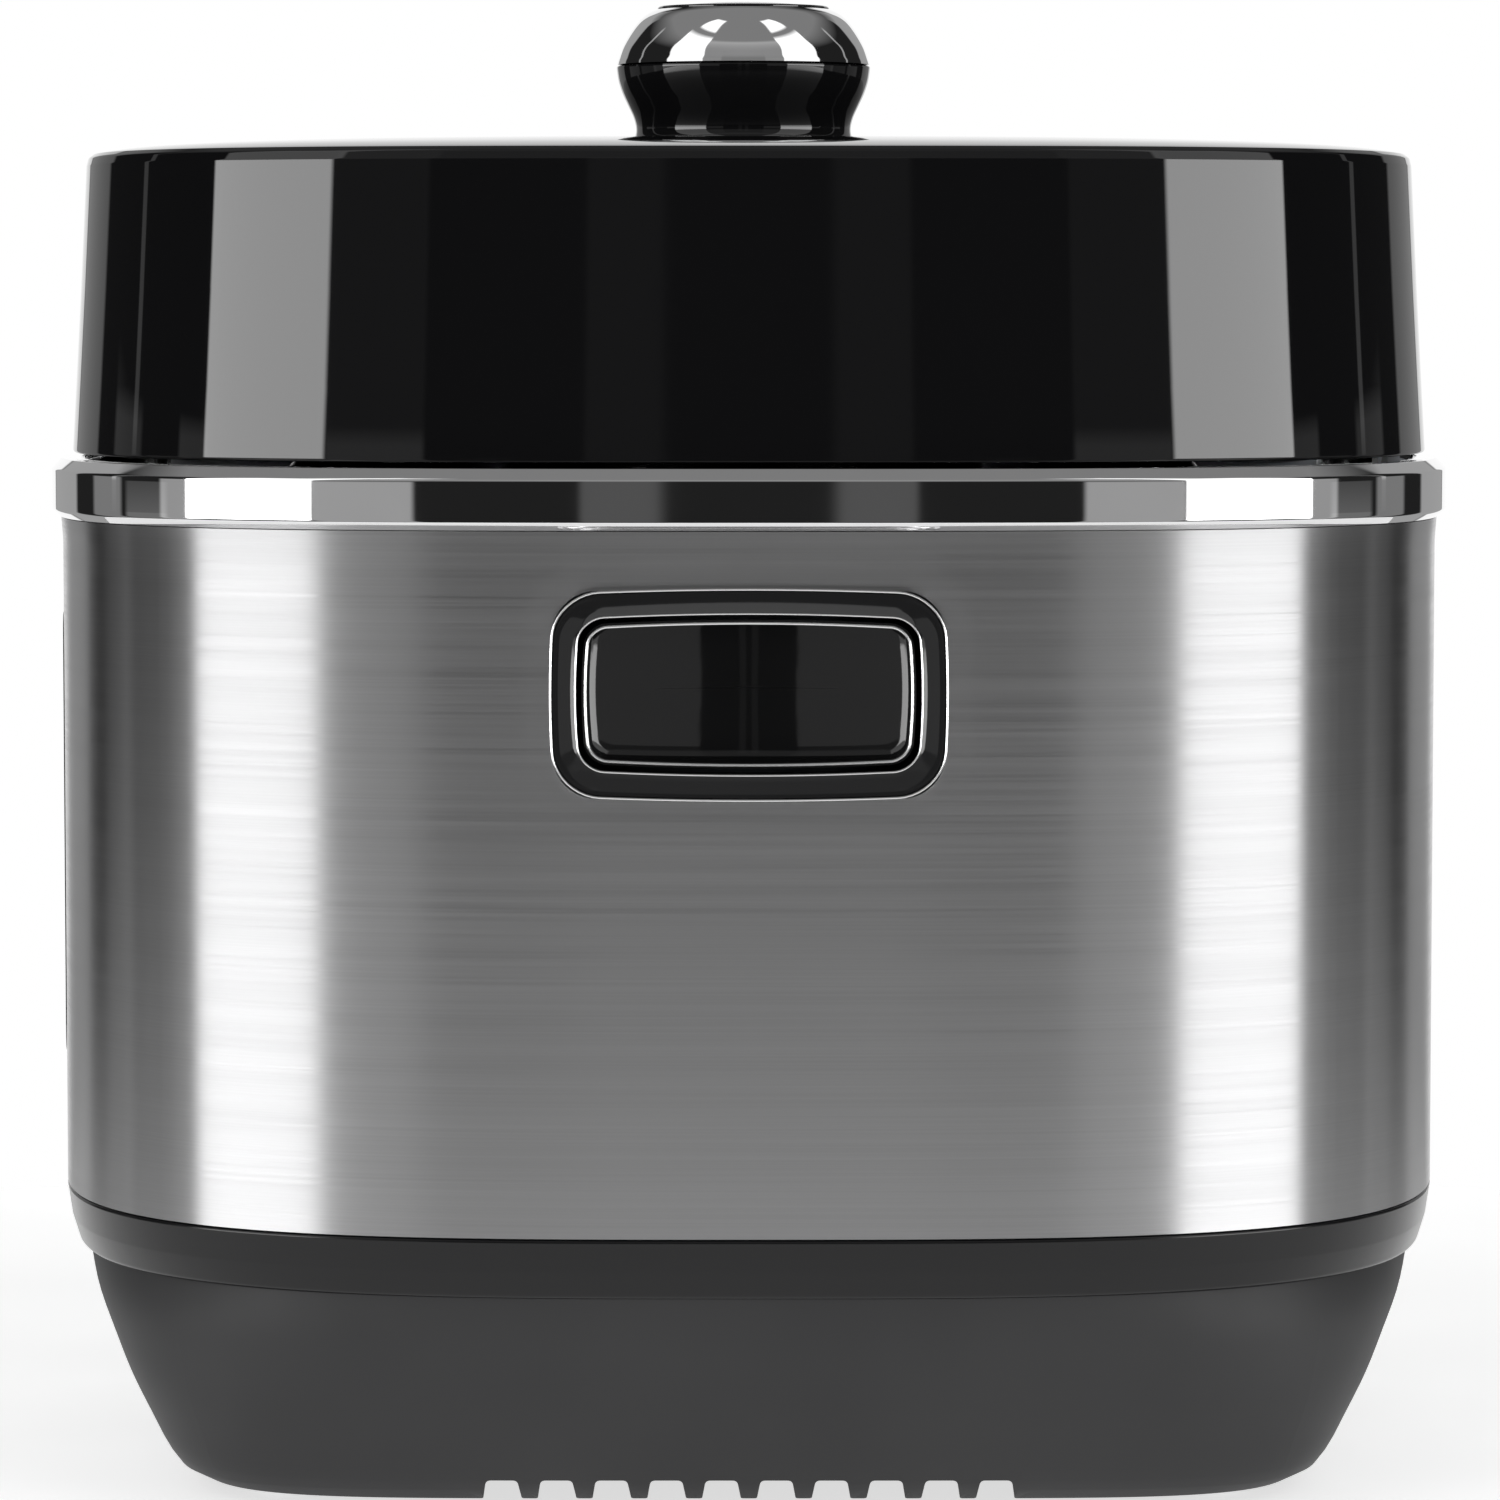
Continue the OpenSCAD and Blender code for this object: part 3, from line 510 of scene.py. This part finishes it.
def build_ring():
    """The chrome ring. It is cut away at the back for the hinge."""
    top, low = RING_HIGH.z, RING_LOW.z
    full = RING_HIGH.x
    side = fillet([
        (full - 7 * MM, low, 0), (HALF - 0.7 * MM, low, 0), (HALF - 0.6 * MM, low + 0.2 * MM, 0),
        (full - 1.6 * MM, low + 0.2 * MM, 0.3 * MM), (full, low + 1.8 * MM, 0.9 * MM), (full, low + 3 * MM, 0),
        (full, top - 3.4 * MM, 0), (full, top - 2.3 * MM, 1.0 * MM), (full - 2.1 * MM, top, 0.3 * MM),
        (full - 6.2 * MM, top, 0.5 * MM), (full - 7 * MM, top - 1.2 * MM, 0.3 * MM), (full - 7 * MM, low, 0)
    ])
    ring = make_piece("chrome_band", *body_loft(side[:-1]), CHROME, "housing", "chrome_ring")
    cut_away(ring, *box((-29 * MM, 135 * MM, low - 5 * MM), (29 * MM, 160 * MM, top + 5 * MM)))


# The lower body of the base, from its rim up to the band: half width, squareness, height.
BASE_SIDE = [
    (119.8, 6.5, 2.4), (122.4, 6.4, 3.4), (125.2, 6.2, 5.8), (128.4, 5.7, 10.2), (130.8, 5.3, 14.2),
    (135.6, 4.8, 22.9), (139.7, 4.3, 31.6), (143.7, 3.8, 40.3), (146.4, POWER, 49.2)
]
NOTCHES, NOTCH_PITCH = 10, 11.49 * MM          # notches along the rim of each side
MOULDING = 2.5 * MM                            # thickness of the base's wall


def build_base():
    """The lower body has notches along its rim. A band with a rounded lower edge carries the steel."""
    side = np.array(spline(BASE_SIDE)) * [MM, 1, MM]
    rim, top = side[0, 2], side[-1, 2]
    deep = 5.0 * MM
    reach = 124 * MM                           # half the width of the flat area that becomes one side
    lower = []
    for k in range(NOTCHES):
        middle = (k - (NOTCHES - 1) / 2) * NOTCH_PITCH
        notch = fillet([(-5.3 * MM, 0, 0), (-4.1 * MM, 0, 1.35 * MM), (-3.3 * MM, deep, 1.2 * MM),
                        (3.3 * MM, deep, 1.2 * MM), (4.1 * MM, 0, 1.35 * MM), (5.3 * MM, 0, 0)], 6)
        for x, z in notch:
            half = np.interp(rim + z, side[:, 2], side[:, 0])
            lower.append(((middle + x) * reach / half, rim + z))
    left = [(-reach + (lower[0][0] + reach) * k / 18, rim) for k in range(18)]
    right = [(lower[-1][0] + (reach - lower[-1][0]) * k / 18, rim) for k in range(1, 19)]
    up = [(reach, rim + (top - rim) * k / 16) for k in range(1, 16)]
    across = [(reach - 2 * reach * k / 62, top) for k in range(62)]
    down = [(-reach, top - (top - rim) * k / 16) for k in range(16)]
    flat, tris = fill(left + lower + right + up + across + down, [], (3.2 * MM, 2.6 * MM))

    def place(p):
        angle = np.arctan2(p[:, 0], reach)
        half = np.interp(p[:, 1], side[:, 2], side[:, 0])
        power = np.interp(p[:, 1], side[:, 2], side[:, 1])
        r = se_radius(half, power, angle)
        return np.stack([r * np.cos(angle), r * np.sin(angle), p[:, 1]], 1)

    points, faces = thicken(flat, tris, place, MOULDING)
    parts = [(turned(points, quarter), faces) for quarter in (RIGHT, REAR, LEFT, FRONT)]
    band = fillet([
        (HALF - 4.9 * MM, BAND_TOP - 9 * MM, 0), (HALF - 4.9 * MM, top - 0.5 * MM, 0.3 * MM),
        (HALF - 2.6 * MM, top - 0.2 * MM, 2.2 * MM), (HALF - 0.9 * MM, top + 5.5 * MM, 3 * MM),
        (HALF, BAND_TOP - 0.6 * MM, 1.0 * MM), (HALF - 0.1 * MM, BAND_TOP - 0.1 * MM, 0.3 * MM),
        (HALF - 2.8 * MM, BAND_TOP, 0.2 * MM), (HALF - 4.9 * MM, BAND_TOP - 2 * MM, 0)
    ])
    make_piece("base_body", *merge(*parts), BASE_GREY, "housing", "base_housing")
    make_piece("base_band", *body_loft(band), BAND_GREY, "housing", slot=SLOTS["base_housing"])


# ---- lid and knob ----

def build_lid():
    """The lid cover, with holes for the knob's shaft and the steam vent cap.

    Its outline is the body's as far in as 138 mm, and from there it turns into a circle round the knob.
    """
    low, top = LID_LOW.z, LID_HIGH.z
    half = LID_HIGH.x
    hole = 14 * MM
    skirt = fillet([
        (half - 2.5 * MM, low + 0.6 * MM, 0), (half - 1.8 * MM, low, 0.4 * MM), (half, low, 0.7 * MM),
        (147.9 * MM, 236 * MM, 30 * MM), (146.8 * MM, 256 * MM, 40 * MM), (145.5 * MM, 282.2 * MM, 1.5 * MM),
        (145.1 * MM, 283.9 * MM, 0.9 * MM), (144.1 * MM, 284.7 * MM, 0.4 * MM),
        (142.4 * MM, 285.05 * MM, 1 * MM)
    ])
    crown = np.array(spline([
        (142.4, 285.05), (139, 285.55), (135, 286), (130, 286.4), (120, 287), (105, 287.6), (85, 288.05),
        (60, 288.3), (38, 288.42), (15, 288.45)
    ])) * MM
    lining = fillet([
        (hole, top - 0.1 * MM, 0), (hole, top - 2.5 * MM, 0.3 * MM), (60 * MM, 285.8 * MM, 0),
        (118 * MM, 285 * MM, 0), (139.5 * MM, 283.2 * MM, 3 * MM), (142.7 * MM, 281 * MM, 3 * MM),
        (144.3 * MM, 256 * MM, 0), (half - 2.5 * MM, low + 0.6 * MM, 0)
    ])
    side = skirt[:-1] + [tuple(p) for p in crown] + lining
    rings = []
    for r, z in side[:-1]:
        towards_middle = np.clip((138 * MM - r) / (108 * MM), 0, 1)
        rings.append((r, POWER - (POWER - 2) * towards_middle, z, AXIS_Y * towards_middle))
    lid = make_piece("lid_shell", *loft(rings, ROUND, closed=True), BLACK, "lid", "lid_cover")
    cap_low, cap_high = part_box("steam_vent_cap")
    centre = (cap_low + cap_high) / 2
    radius = (cap_high.x - cap_low.x) / 2 + 0.4 * MM
    count = 96
    points, faces = revolve([(radius, centre.z - 10 * MM), (radius, centre.z + 30 * MM)], centre, count)
    faces += [tuple(range(count - 1, -1, -1)), tuple(range(count, 2 * count))]
    cut_away(lid, points, faces)


def build_knob():
    """The knob's black grip, its chrome dome, the collar in the dome and the button in the collar."""
    seam, foot = CAP_LOW.z, KNOB_LOW.z
    wide = CAP_HIGH.x
    centre = (0, AXIS_Y)
    grip = spline([(25.3 * MM, foot), (24.4 * MM, foot + 1.2 * MM), (24.2 * MM, foot + 3 * MM),
                   (24.8 * MM, foot + 5.4 * MM), (26 * MM, foot + 8 * MM), (27.2 * MM, foot + 10.6 * MM),
                   (28.1 * MM, foot + 13.4 * MM), (wide, foot + 16 * MM), (wide, seam - 0.25 * MM)], 5)
    grip += [(wide - 0.5 * MM, seam - 0.05 * MM), (wide - 3 * MM, seam - 0.05 * MM)]
    bore, floor = 8.1 * MM, 300 * MM
    grip = [(bore, foot)] + grip + [(21.5 * MM, floor), (bore, floor)]
    make_piece("knob_body", *revolve(grip, centre, closed=True), BLACK, "lock_rotor", "knob_grip")
    cap = spline([(wide, seam + 0.2 * MM), (28.1 * MM, seam + 1.6 * MM), (27.1 * MM, seam + 4.4 * MM),
                  (25.5 * MM, seam + 7.3 * MM), (23.6 * MM, seam + 9.9 * MM), (21.6 * MM, seam + 11.6 * MM),
                  (19.3 * MM, seam + 12.7 * MM)], 6)
    cap = [(wide - 2 * MM, seam + 0.05 * MM), (wide - 0.4 * MM, seam + 0.05 * MM)] + cap
    cap += [(18.85 * MM, seam + 12.6 * MM), (18.8 * MM, seam + 8 * MM), (22.5 * MM, seam + 6 * MM),
            (24.6 * MM, seam + 3 * MM)]
    make_piece("knob_dome", *revolve(cap, centre, closed=True), CHROME, "lock_rotor", "knob_cap")
    collar = [(18.95 * MM, seam + 8 * MM), (19.3 * MM, seam + 12.9 * MM), (19.0 * MM, seam + 13.2 * MM),
              (18.75 * MM, seam + 13.1 * MM), (18.7 * MM, seam + 8 * MM)]
    make_piece("knob_collar", *revolve(collar, centre, closed=True), BLACK, "lock_rotor",
               slot=SLOTS["knob_grip"])
    radius, top = BUTTON_HIGH.x, BUTTON_HIGH.z
    crown, wall, steps = 1.2 * MM, 1.8 * MM, 12
    disc = [(radius * k / steps, top - crown * (k / steps) ** 2) for k in range(steps)]
    disc += fillet([(radius * 0.95, top - 0.9 * crown, 0), (radius, top - crown, 0.4 * MM),
                    (radius, BUTTON_LOW.z, 0.2 * MM), (radius - wall, BUTTON_LOW.z, 0)])
    disc += [(radius - wall, top - 3.8 * MM), (0, top - 3.8 * MM)]
    make_piece("knob_button", *revolve(disc[::-1], centre), BUTTON_METAL, "release", "release_button")


# ---- carrying recesses ----

GRIP_BEND = 11 * MM                            # half width of the bend in the middle of a recess's floor


def nest(rings):
    """A skin through nested outlines, outermost first, facing +X.

    Each ring is (width, height, radius, x, slope). slope brings the ring's two ends forward.
    """
    loops = []
    for width, height, radius, x, slope in rings:
        loop = bowed_outline(width, height, min(radius, 0.49 * height), 0.9 * MM, min(1.0 * MM, 0.1 * height))
        loops.append([(x + slope * (math.hypot(y, GRIP_BEND) - GRIP_BEND), y, z) for y, z in loop])
    return [p for loop in loops for p in loop], bridge(len(loops), len(loops[0]))


def build_recess(side):
    """A carrying recess: a black frame and pocket, a bright trim round its edge, and two bright metal beads on
    the edges of its step and rim that are painted highlights. side is 1 or -1.
    """
    word = "right" if side > 0 else "left"
    middle = (TRIM_LOW.z + TRIM_HIGH.z) / 2
    width, height = TRIM_HIGH.y - TRIM_LOW.y, TRIM_HIGH.z - TRIM_LOW.z
    back = HALF - 8 * MM
    floor = POCKET_LOW.x + 2 * MM

    def ring(inset, x, radius, slope=0.0):
        """A ring for nest, with inset and radius in millimetres."""
        return (width - 2 * inset * MM, height - 2 * inset * MM, radius * MM, x, slope)

    def put(name, rings, material, *nodes, slot=None):
        points, faces = nest(rings)
        moved = [(side * x, side * y, z + middle) for x, y, z in points]
        make_piece(name + word, moved, faces, material, "housing", *nodes, slot=slot)

    def line(name, inset, x, radius, thick, *nodes):
        """A bead that follows an outline, in millimetres. Each pair below is how far a ring lies to the
        inside and how deep, as a multiple of thick, half the bead's width."""
        foot = 1.2 / thick
        rings = [ring(inset + k * thick, x - down * thick * MM, radius - k * thick) for k, down in [
            (-1, foot), (-1, 1), (-0.7, 0.3), (0, 0), (0.7, 0.3), (1, 1), (1, foot)]]
        put(name, rings, TRIM_AND_HIGHLIGHT_METAL, *nodes, slot=SLOTS["handle_trim_" + word])

    line("recess_edge_", 0.3, HALF + 0.5 * MM, 9.4, 0.26, "handle_trim_" + word)
    # The step's and the rim's beads are painted highlights: bright metal where the edges of the black plastic
    # catch the light.
    line("recess_step_highlight_", 5.3, HALF - 0.95 * MM, 5.2, 0.22)
    line("recess_rim_highlight_", 7.3, HALF - 2.6 * MM, 3.8, 0.34)
    put("recess_frame_", [
        ring(0.6, HALF - 0.6 * MM, 9.1), ring(0.75, HALF + 0.1 * MM, 9), ring(1.4, HALF + 0.1 * MM, 8.7),
        ring(2.2, HALF - 0.1 * MM, 7.8), ring(3.9, HALF - 0.6 * MM, 6.4), ring(4.9, HALF - 0.95 * MM, 5.5),
        ring(5.5, HALF - 1.3 * MM, 5.1), ring(5.5, back, 5.1), ring(0.6, back, 9.1),
        ring(0.6, HALF - 0.6 * MM, 9.1)
    ], RECESS_BLACK, "handle_bezel_" + word)
    pocket = [
        ring(6.6, back, 4.3), ring(6.6, HALF - 3.2 * MM, 4.3), ring(7, HALF - 2.9 * MM, 4),
        ring(7.6, HALF - 2.9 * MM, 3.6), ring(7.6, HALF - 4 * MM, 3.6), ring(7.3, HALF - 6 * MM, 3.8)
    ]
    for inset, rise in [(7, 5), (7.05, 2), (7.2, 0.9), (7.6, 0.3), (8.4, 0.02), (10, 0), (12, 0), (15, 0),
                        (18, 0), (21, 0), (21.78, 0)]:
        pocket.append(ring(inset, floor + rise * MM, 3.6, 0.3))
    put("recess_pocket_", pocket, RECESS_BLACK, "handle_cup_" + word)


# ---- front panel ----

KEYS = ["start", "cancel", "menu", "timer", "pressure", "warm"]


def on_front(flat, lift=0.0):
    """Points (across, z) laid on the panel's curved face, lifted off it."""
    flat = np.asarray(flat, float)
    return np.stack([flat[:, 0], -se_depth(FACE, flat[:, 0]) - lift, flat[:, 1]], 1)


def plate(outline, holes, lift, thickness):
    """A thin plate on the panel's face, with holes."""
    flat, tris = fill(outline, holes, (3 * MM, 3 * MM))
    return thicken(flat, tris, lambda p: on_front(p, lift), thickness)


def stroke(path, width, closed=False):
    """A flat line of a given width along a path, as (points, faces)."""
    p = np.asarray(path, float)
    if closed:
        along = np.roll(p, -1, 0) - np.roll(p, 1, 0)
    else:
        along = np.vstack([p[1:], 2 * p[-1] - p[-2]]) - np.vstack([2 * p[0] - p[1], p[:-1]])
    along /= np.linalg.norm(along, axis=1)[:, None]
    side = np.stack([-along[:, 1], along[:, 0]], 1) * width / 2
    count = len(p)
    points = np.vstack([p + side, p - side])
    last = count if closed else count - 1
    return points, [(i, i + count, (i + 1) % count + count, (i + 1) % count) for i in range(last)]


def arc(z, radius, start, end):
    """An arc round (0, z), between two angles in degrees."""
    turn = np.radians(np.linspace(start, end, 24))
    return np.stack([radius * np.cos(turn), z + radius * np.sin(turn)], 1)


def sign(word):
    """A plain pictogram for a key, as flat (points, faces) parts, in millimetres round the key's middle."""
    if word == "start":
        return [([(-1.5, -2), (2, 0), (-1.5, 2)], [(0, 1, 2)])]
    if word == "cancel":
        return [([(-1.6, -1.6), (1.6, -1.6), (1.6, 1.6), (-1.6, 1.6)], [(0, 1, 2, 3)])]
    if word == "menu":
        return [stroke([(-2.2, z), (2.2, z)], 0.5) for z in (-1.5, 0, 1.5)]
    if word == "timer":
        return [stroke(arc(0, 2.2, 0, 345), 0.45, True), stroke([(0, 1.4), (0, 0), (1.1, -0.6)], 0.4)]
    if word == "pressure":
        return [stroke(arc(-0.8, 2.6, 10, 170), 0.45), stroke([(0, -0.8), (1.2, 0.8)], 0.45),
                stroke([(-2.2, -1.9), (2.2, -1.9)], 0.4)]
    heights = np.linspace(-1.9, 1.9, 15)
    return [stroke([(x + 0.45 * math.sin(z * 1.7), z) for z in heights], 0.4) for x in (-1.5, 0, 1.5)]


def build_panel():
    """The panel with its rounded edge, the window and the keys."""
    def opening(node, grow, radius):
        """The outline of a node's front, as (across, z)."""
        low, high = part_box(node)
        loop = bowed_outline(high.x - low.x + 2 * grow, high.z - low.z + 2 * grow, radius)
        return loop + [(low.x + high.x) / 2, (low.z + high.z) / 2]

    holes = [opening("display_window", 0.2 * MM, 4.2 * MM)]
    holes += [opening(word + "_button", 0.35 * MM, 3.3 * MM) for word in KEYS]
    rim = opening("control_panel", -0.5 * MM, 10.3 * MM)
    body = opening("control_panel", 0, 10.8 * MM)
    front = plate(rim, holes, 0, 2.2 * MM)
    loops = [on_front(rim), on_front(body, -0.35 * MM), on_front(body, -2.6 * MM)]
    edges = [(np.concatenate(pair), bridge(2, len(rim))) for pair in (loops[:2], loops[1:])]
    make_piece("panel_front", *merge(front, *edges), BLACK, "housing", "control_panel")
    make_piece("panel_window", *plate(opening("display_window", -0.1 * MM, 4 * MM), [], -0.1 * MM, 1.4 * MM),
               WINDOW, "housing", "display_window")
    for word in KEYS:
        build_key(word)


def build_key(word):
    """A key with a rounded edge and a shallow hollow, and its printed sign."""
    low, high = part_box(word + "_button")
    x, z = (low.x + high.x) / 2, (low.z + high.z) / 2
    width, height = high.x - low.x, high.z - low.z
    loops = []
    for inset, lift in [(0, -5), (0, -0.45), (0.12, -0.2), (0.4, -0.05), (0.9, 0), (1.8, -0.04), (3, -0.12),
                        (4.2, -0.2), (5, -0.22), (5.48, -0.22)]:
        loop = bowed_outline(width - 2 * inset * MM, height - 2 * inset * MM, min(3, 5.5 - inset) * MM, side=6)
        loops.append(on_front(loop + [x, z], lift * MM))
    faces = bridge(len(loops), len(loops[0]))
    make_piece(word + "_cap", np.concatenate(loops), faces, KEY_BLACK, word + "_key", word + "_button")
    parts = []
    for points, shapes in sign(word):
        flat = np.array(points) * MM + [x, z]
        parts.append((on_front(flat, -0.1 * MM), shapes))
    make_piece(word + "_sign", *merge(*parts), PRINT, word + "_key", slot=SLOTS[word + "_button"])


# ---- studio ----

FLOOR = 0.42                                   # radius of the floor
CAMERA_PLACE = (1.4567, 0.00023, 0.255)
CAMERA_PITCH = 0.071                           # radians below the horizon
CAMERA_LENS, CAMERA_SENSOR = 154.49, 36        # millimetres

# The room round the cooker, as degrees from the camera's side, then degrees above the horizon, each with
# soft edges: from, to, softness, bottom, top, softness, brightness. What overlaps adds up.
STUDIO = [
    (0, 180, 1, -90, 90, 1, 0.016),            # the dark room
    (1.8, 5, 0.4, -20, 20, 3, 0.08),           # pale things beside the camera
    (22, 39.5, 0.8, -30, 1, 1.5, 0.28),        # low grey walls, and dimmer ones above them
    (22, 39.5, 0.8, -30, 30, 8, 0.08),
    (41, 78, 1, -5, 8, 2, 5.2),                # soft boxes to the left and right: core and glow
    (41, 78, 1, -12, 52, 4, 1.25),
    (0, 40, 3, 14, 48, 4, 0.2),                # the upper wall behind the camera
    (44, 70, 3, 61, 73, 2, 1.2),               # two small lamps high up
    (78, 89, 1.5, -30, 1, 1.5, 0.33),          # grey things beside the soft boxes
    (88, 106, 2, -30, -2.2, 0.8, 0.16),
    (111, 126, 2, -30, 1, 1.5, 0.2),
    (113, 115, 0.5, 1, 40, 3, 0.35),
    (141, 161, 2, -30, 30, 8, 0.35),
    (163, 180, 1, -90, 24, 6, 1.0),            # the white backdrop
    (0, 180, 1, 48, 90, 16, 0.22),             # the ceiling
]


def build_studio():
    """The camera, the white floor and the light."""
    camera_data = bpy.data.cameras.new("camera")
    camera = bpy.data.objects.new("camera", camera_data)
    bpy.context.scene.collection.objects.link(camera)
    bpy.context.scene.camera = camera
    camera_data.lens, camera_data.sensor_width = CAMERA_LENS, CAMERA_SENSOR
    camera.location = CAMERA_PLACE
    camera.rotation_euler = (math.pi / 2 - CAMERA_PITCH, 0, math.pi / 2)
    count = 96
    mesh = bpy.data.meshes.new("floor")
    rim = np.arange(count) * 2 * math.pi / count
    points = [(FLOOR * math.cos(a), FLOOR * math.sin(a), 0) for a in rim]
    mesh.from_pydata(points, [], [tuple(range(count))])
    floor = bpy.data.objects.new("floor", mesh)
    bpy.context.scene.collection.objects.link(floor)
    floor_look = plastic("floor_look", (0.8, 0.8, 0.8), 0.6)
    shader = floor_look.node_tree.nodes["Principled BSDF"]
    shader.inputs["Emission Color"].default_value = (1, 1, 1, 1)
    shader.inputs["Emission Strength"].default_value = 0.66
    mesh.materials.append(floor_look)
    build_world()


def build_world():
    """The studio as the cooker sees it: a white backdrop behind it, soft boxes at its sides, a dark room.

    Behind the cooker every view sees plain white, so that all views have the same background.
    """
    world = bpy.data.worlds.new("studio")
    bpy.context.scene.world = world
    world.use_nodes = True
    tree = world.node_tree
    tree.nodes.clear()
    out = tree.nodes.new("ShaderNodeOutputWorld")
    where = tree.nodes.new("ShaderNodeTexCoord")
    x, y, z = add(tree, "ShaderNodeSeparateXYZ", Vector=where.outputs["Generated"]).outputs

    def band(value, low, high, soft):
        """1 between low and high, falling to 0 over soft."""
        rise = add(tree, "ShaderNodeMapRange", Value=value, From_Min=low - soft, From_Max=low)
        fall = add(tree, "ShaderNodeMapRange", Value=value, From_Min=high + soft, From_Max=high)
        return maths(tree, "MULTIPLY", rise.outputs[0], fall.outputs[0])

    # 0 on the camera's side, 180 behind the cooker
    turn = maths(tree, "DEGREES", maths(tree, "ABSOLUTE", maths(tree, "ARCTAN2", y, x)))
    lift = maths(tree, "DEGREES", maths(tree, "ARCSINE", z))
    total = 0.0
    for low, high, soft, bottom, top, edge, level in STUDIO:
        part = maths(tree, "MULTIPLY", band(turn, low, high, soft), band(lift, bottom, top, edge))
        total = maths(tree, "ADD", maths(tree, "MULTIPLY", part, level), total)
    light = add(tree, "ShaderNodeBackground", Strength=total, Color=(1, 1, 1, 1))
    plain = add(tree, "ShaderNodeBackground", Color=(1, 1, 1, 1))
    path = tree.nodes.new("ShaderNodeLightPath")
    mixed = tree.nodes.new("ShaderNodeMixShader")
    tree.links.new(path.outputs["Is Camera Ray"], mixed.inputs[0])
    tree.links.new(light.outputs[0], mixed.inputs[1])
    tree.links.new(plain.outputs[0], mixed.inputs[2])
    tree.links.new(mixed.outputs[0], out.inputs[0])
    bpy.context.scene.view_settings.view_transform = "Standard"


# ---- looks of the CAD nodes that stay ----

def dress_nodes():
    """Gives each CAD node the look of its material slot."""
    looks = {
        "black_plastic": BLACK_SATIN, "inlet_plastic": BLACK_SATIN,
        "foot_rubber": plastic("rubber_look", (0.012, 0.012, 0.012), 0.7, texture=0.3),
        "screw_steel": metal("screw_look", (0.6, 0.6, 0.62), 0.3),
        "zinc_steel": metal("zinc_look", (0.55, 0.57, 0.6), 0.38, bumps=0.05),
        "brushed_steel": STEEL, "ring_chrome": CHROME, "gloss_black": BLACK,
        "window": WINDOW,
        "board_green": plastic("board_look", (0.02, 0.12, 0.06), 0.3),
        "display_plastic": plastic("display_look", (0.05, 0.06, 0.055), 0.3),
        "key_plastic": KEY_BLACK,
        "cast_aluminium": metal("aluminium_look", (0.62, 0.62, 0.63), 0.35, bumps=0.08),
        "element_steel": metal("element_look", (0.25, 0.22, 0.2), 0.4),
        "fuse_body": plastic("fuse_look", (0.6, 0.58, 0.52), 0.5),
        "spring_steel": metal("spring_look", (0.6, 0.6, 0.62), 0.25),
        "brass_pins": metal("pin_look", (0.75, 0.68, 0.45), 0.25),
        "pot_coating": plastic("pot_coating_look", (0.03, 0.03, 0.032), 0.3, texture=0.2),
        "polished_steel": metal("polished_look", (0.7, 0.7, 0.71), 0.12),
        "bush_plastic": plastic("bush_look", (0.5, 0.48, 0.42), 0.5),
        "silicone": plastic("silicone_look", (0.62, 0.6, 0.55), 0.55, texture=0.1),
        "button_metal": BUTTON_METAL,
        "valve_red": plastic("valve_red_look", (0.45, 0.03, 0.02), 0.35),
        "valve_metal": metal("valve_look", (0.5, 0.5, 0.52), 0.28),
        "base_plastic": BASE_GREY,
    }
    for name, node in frame["nodes"].items():
        node.data.materials.clear()
        node.data.materials.append(looks[SLOTS[name]])


build_studio()
build_shell()
build_ring()
build_base()
build_lid()
build_knob()
build_recess(1)
build_recess(-1)
build_panel()
dress_nodes()
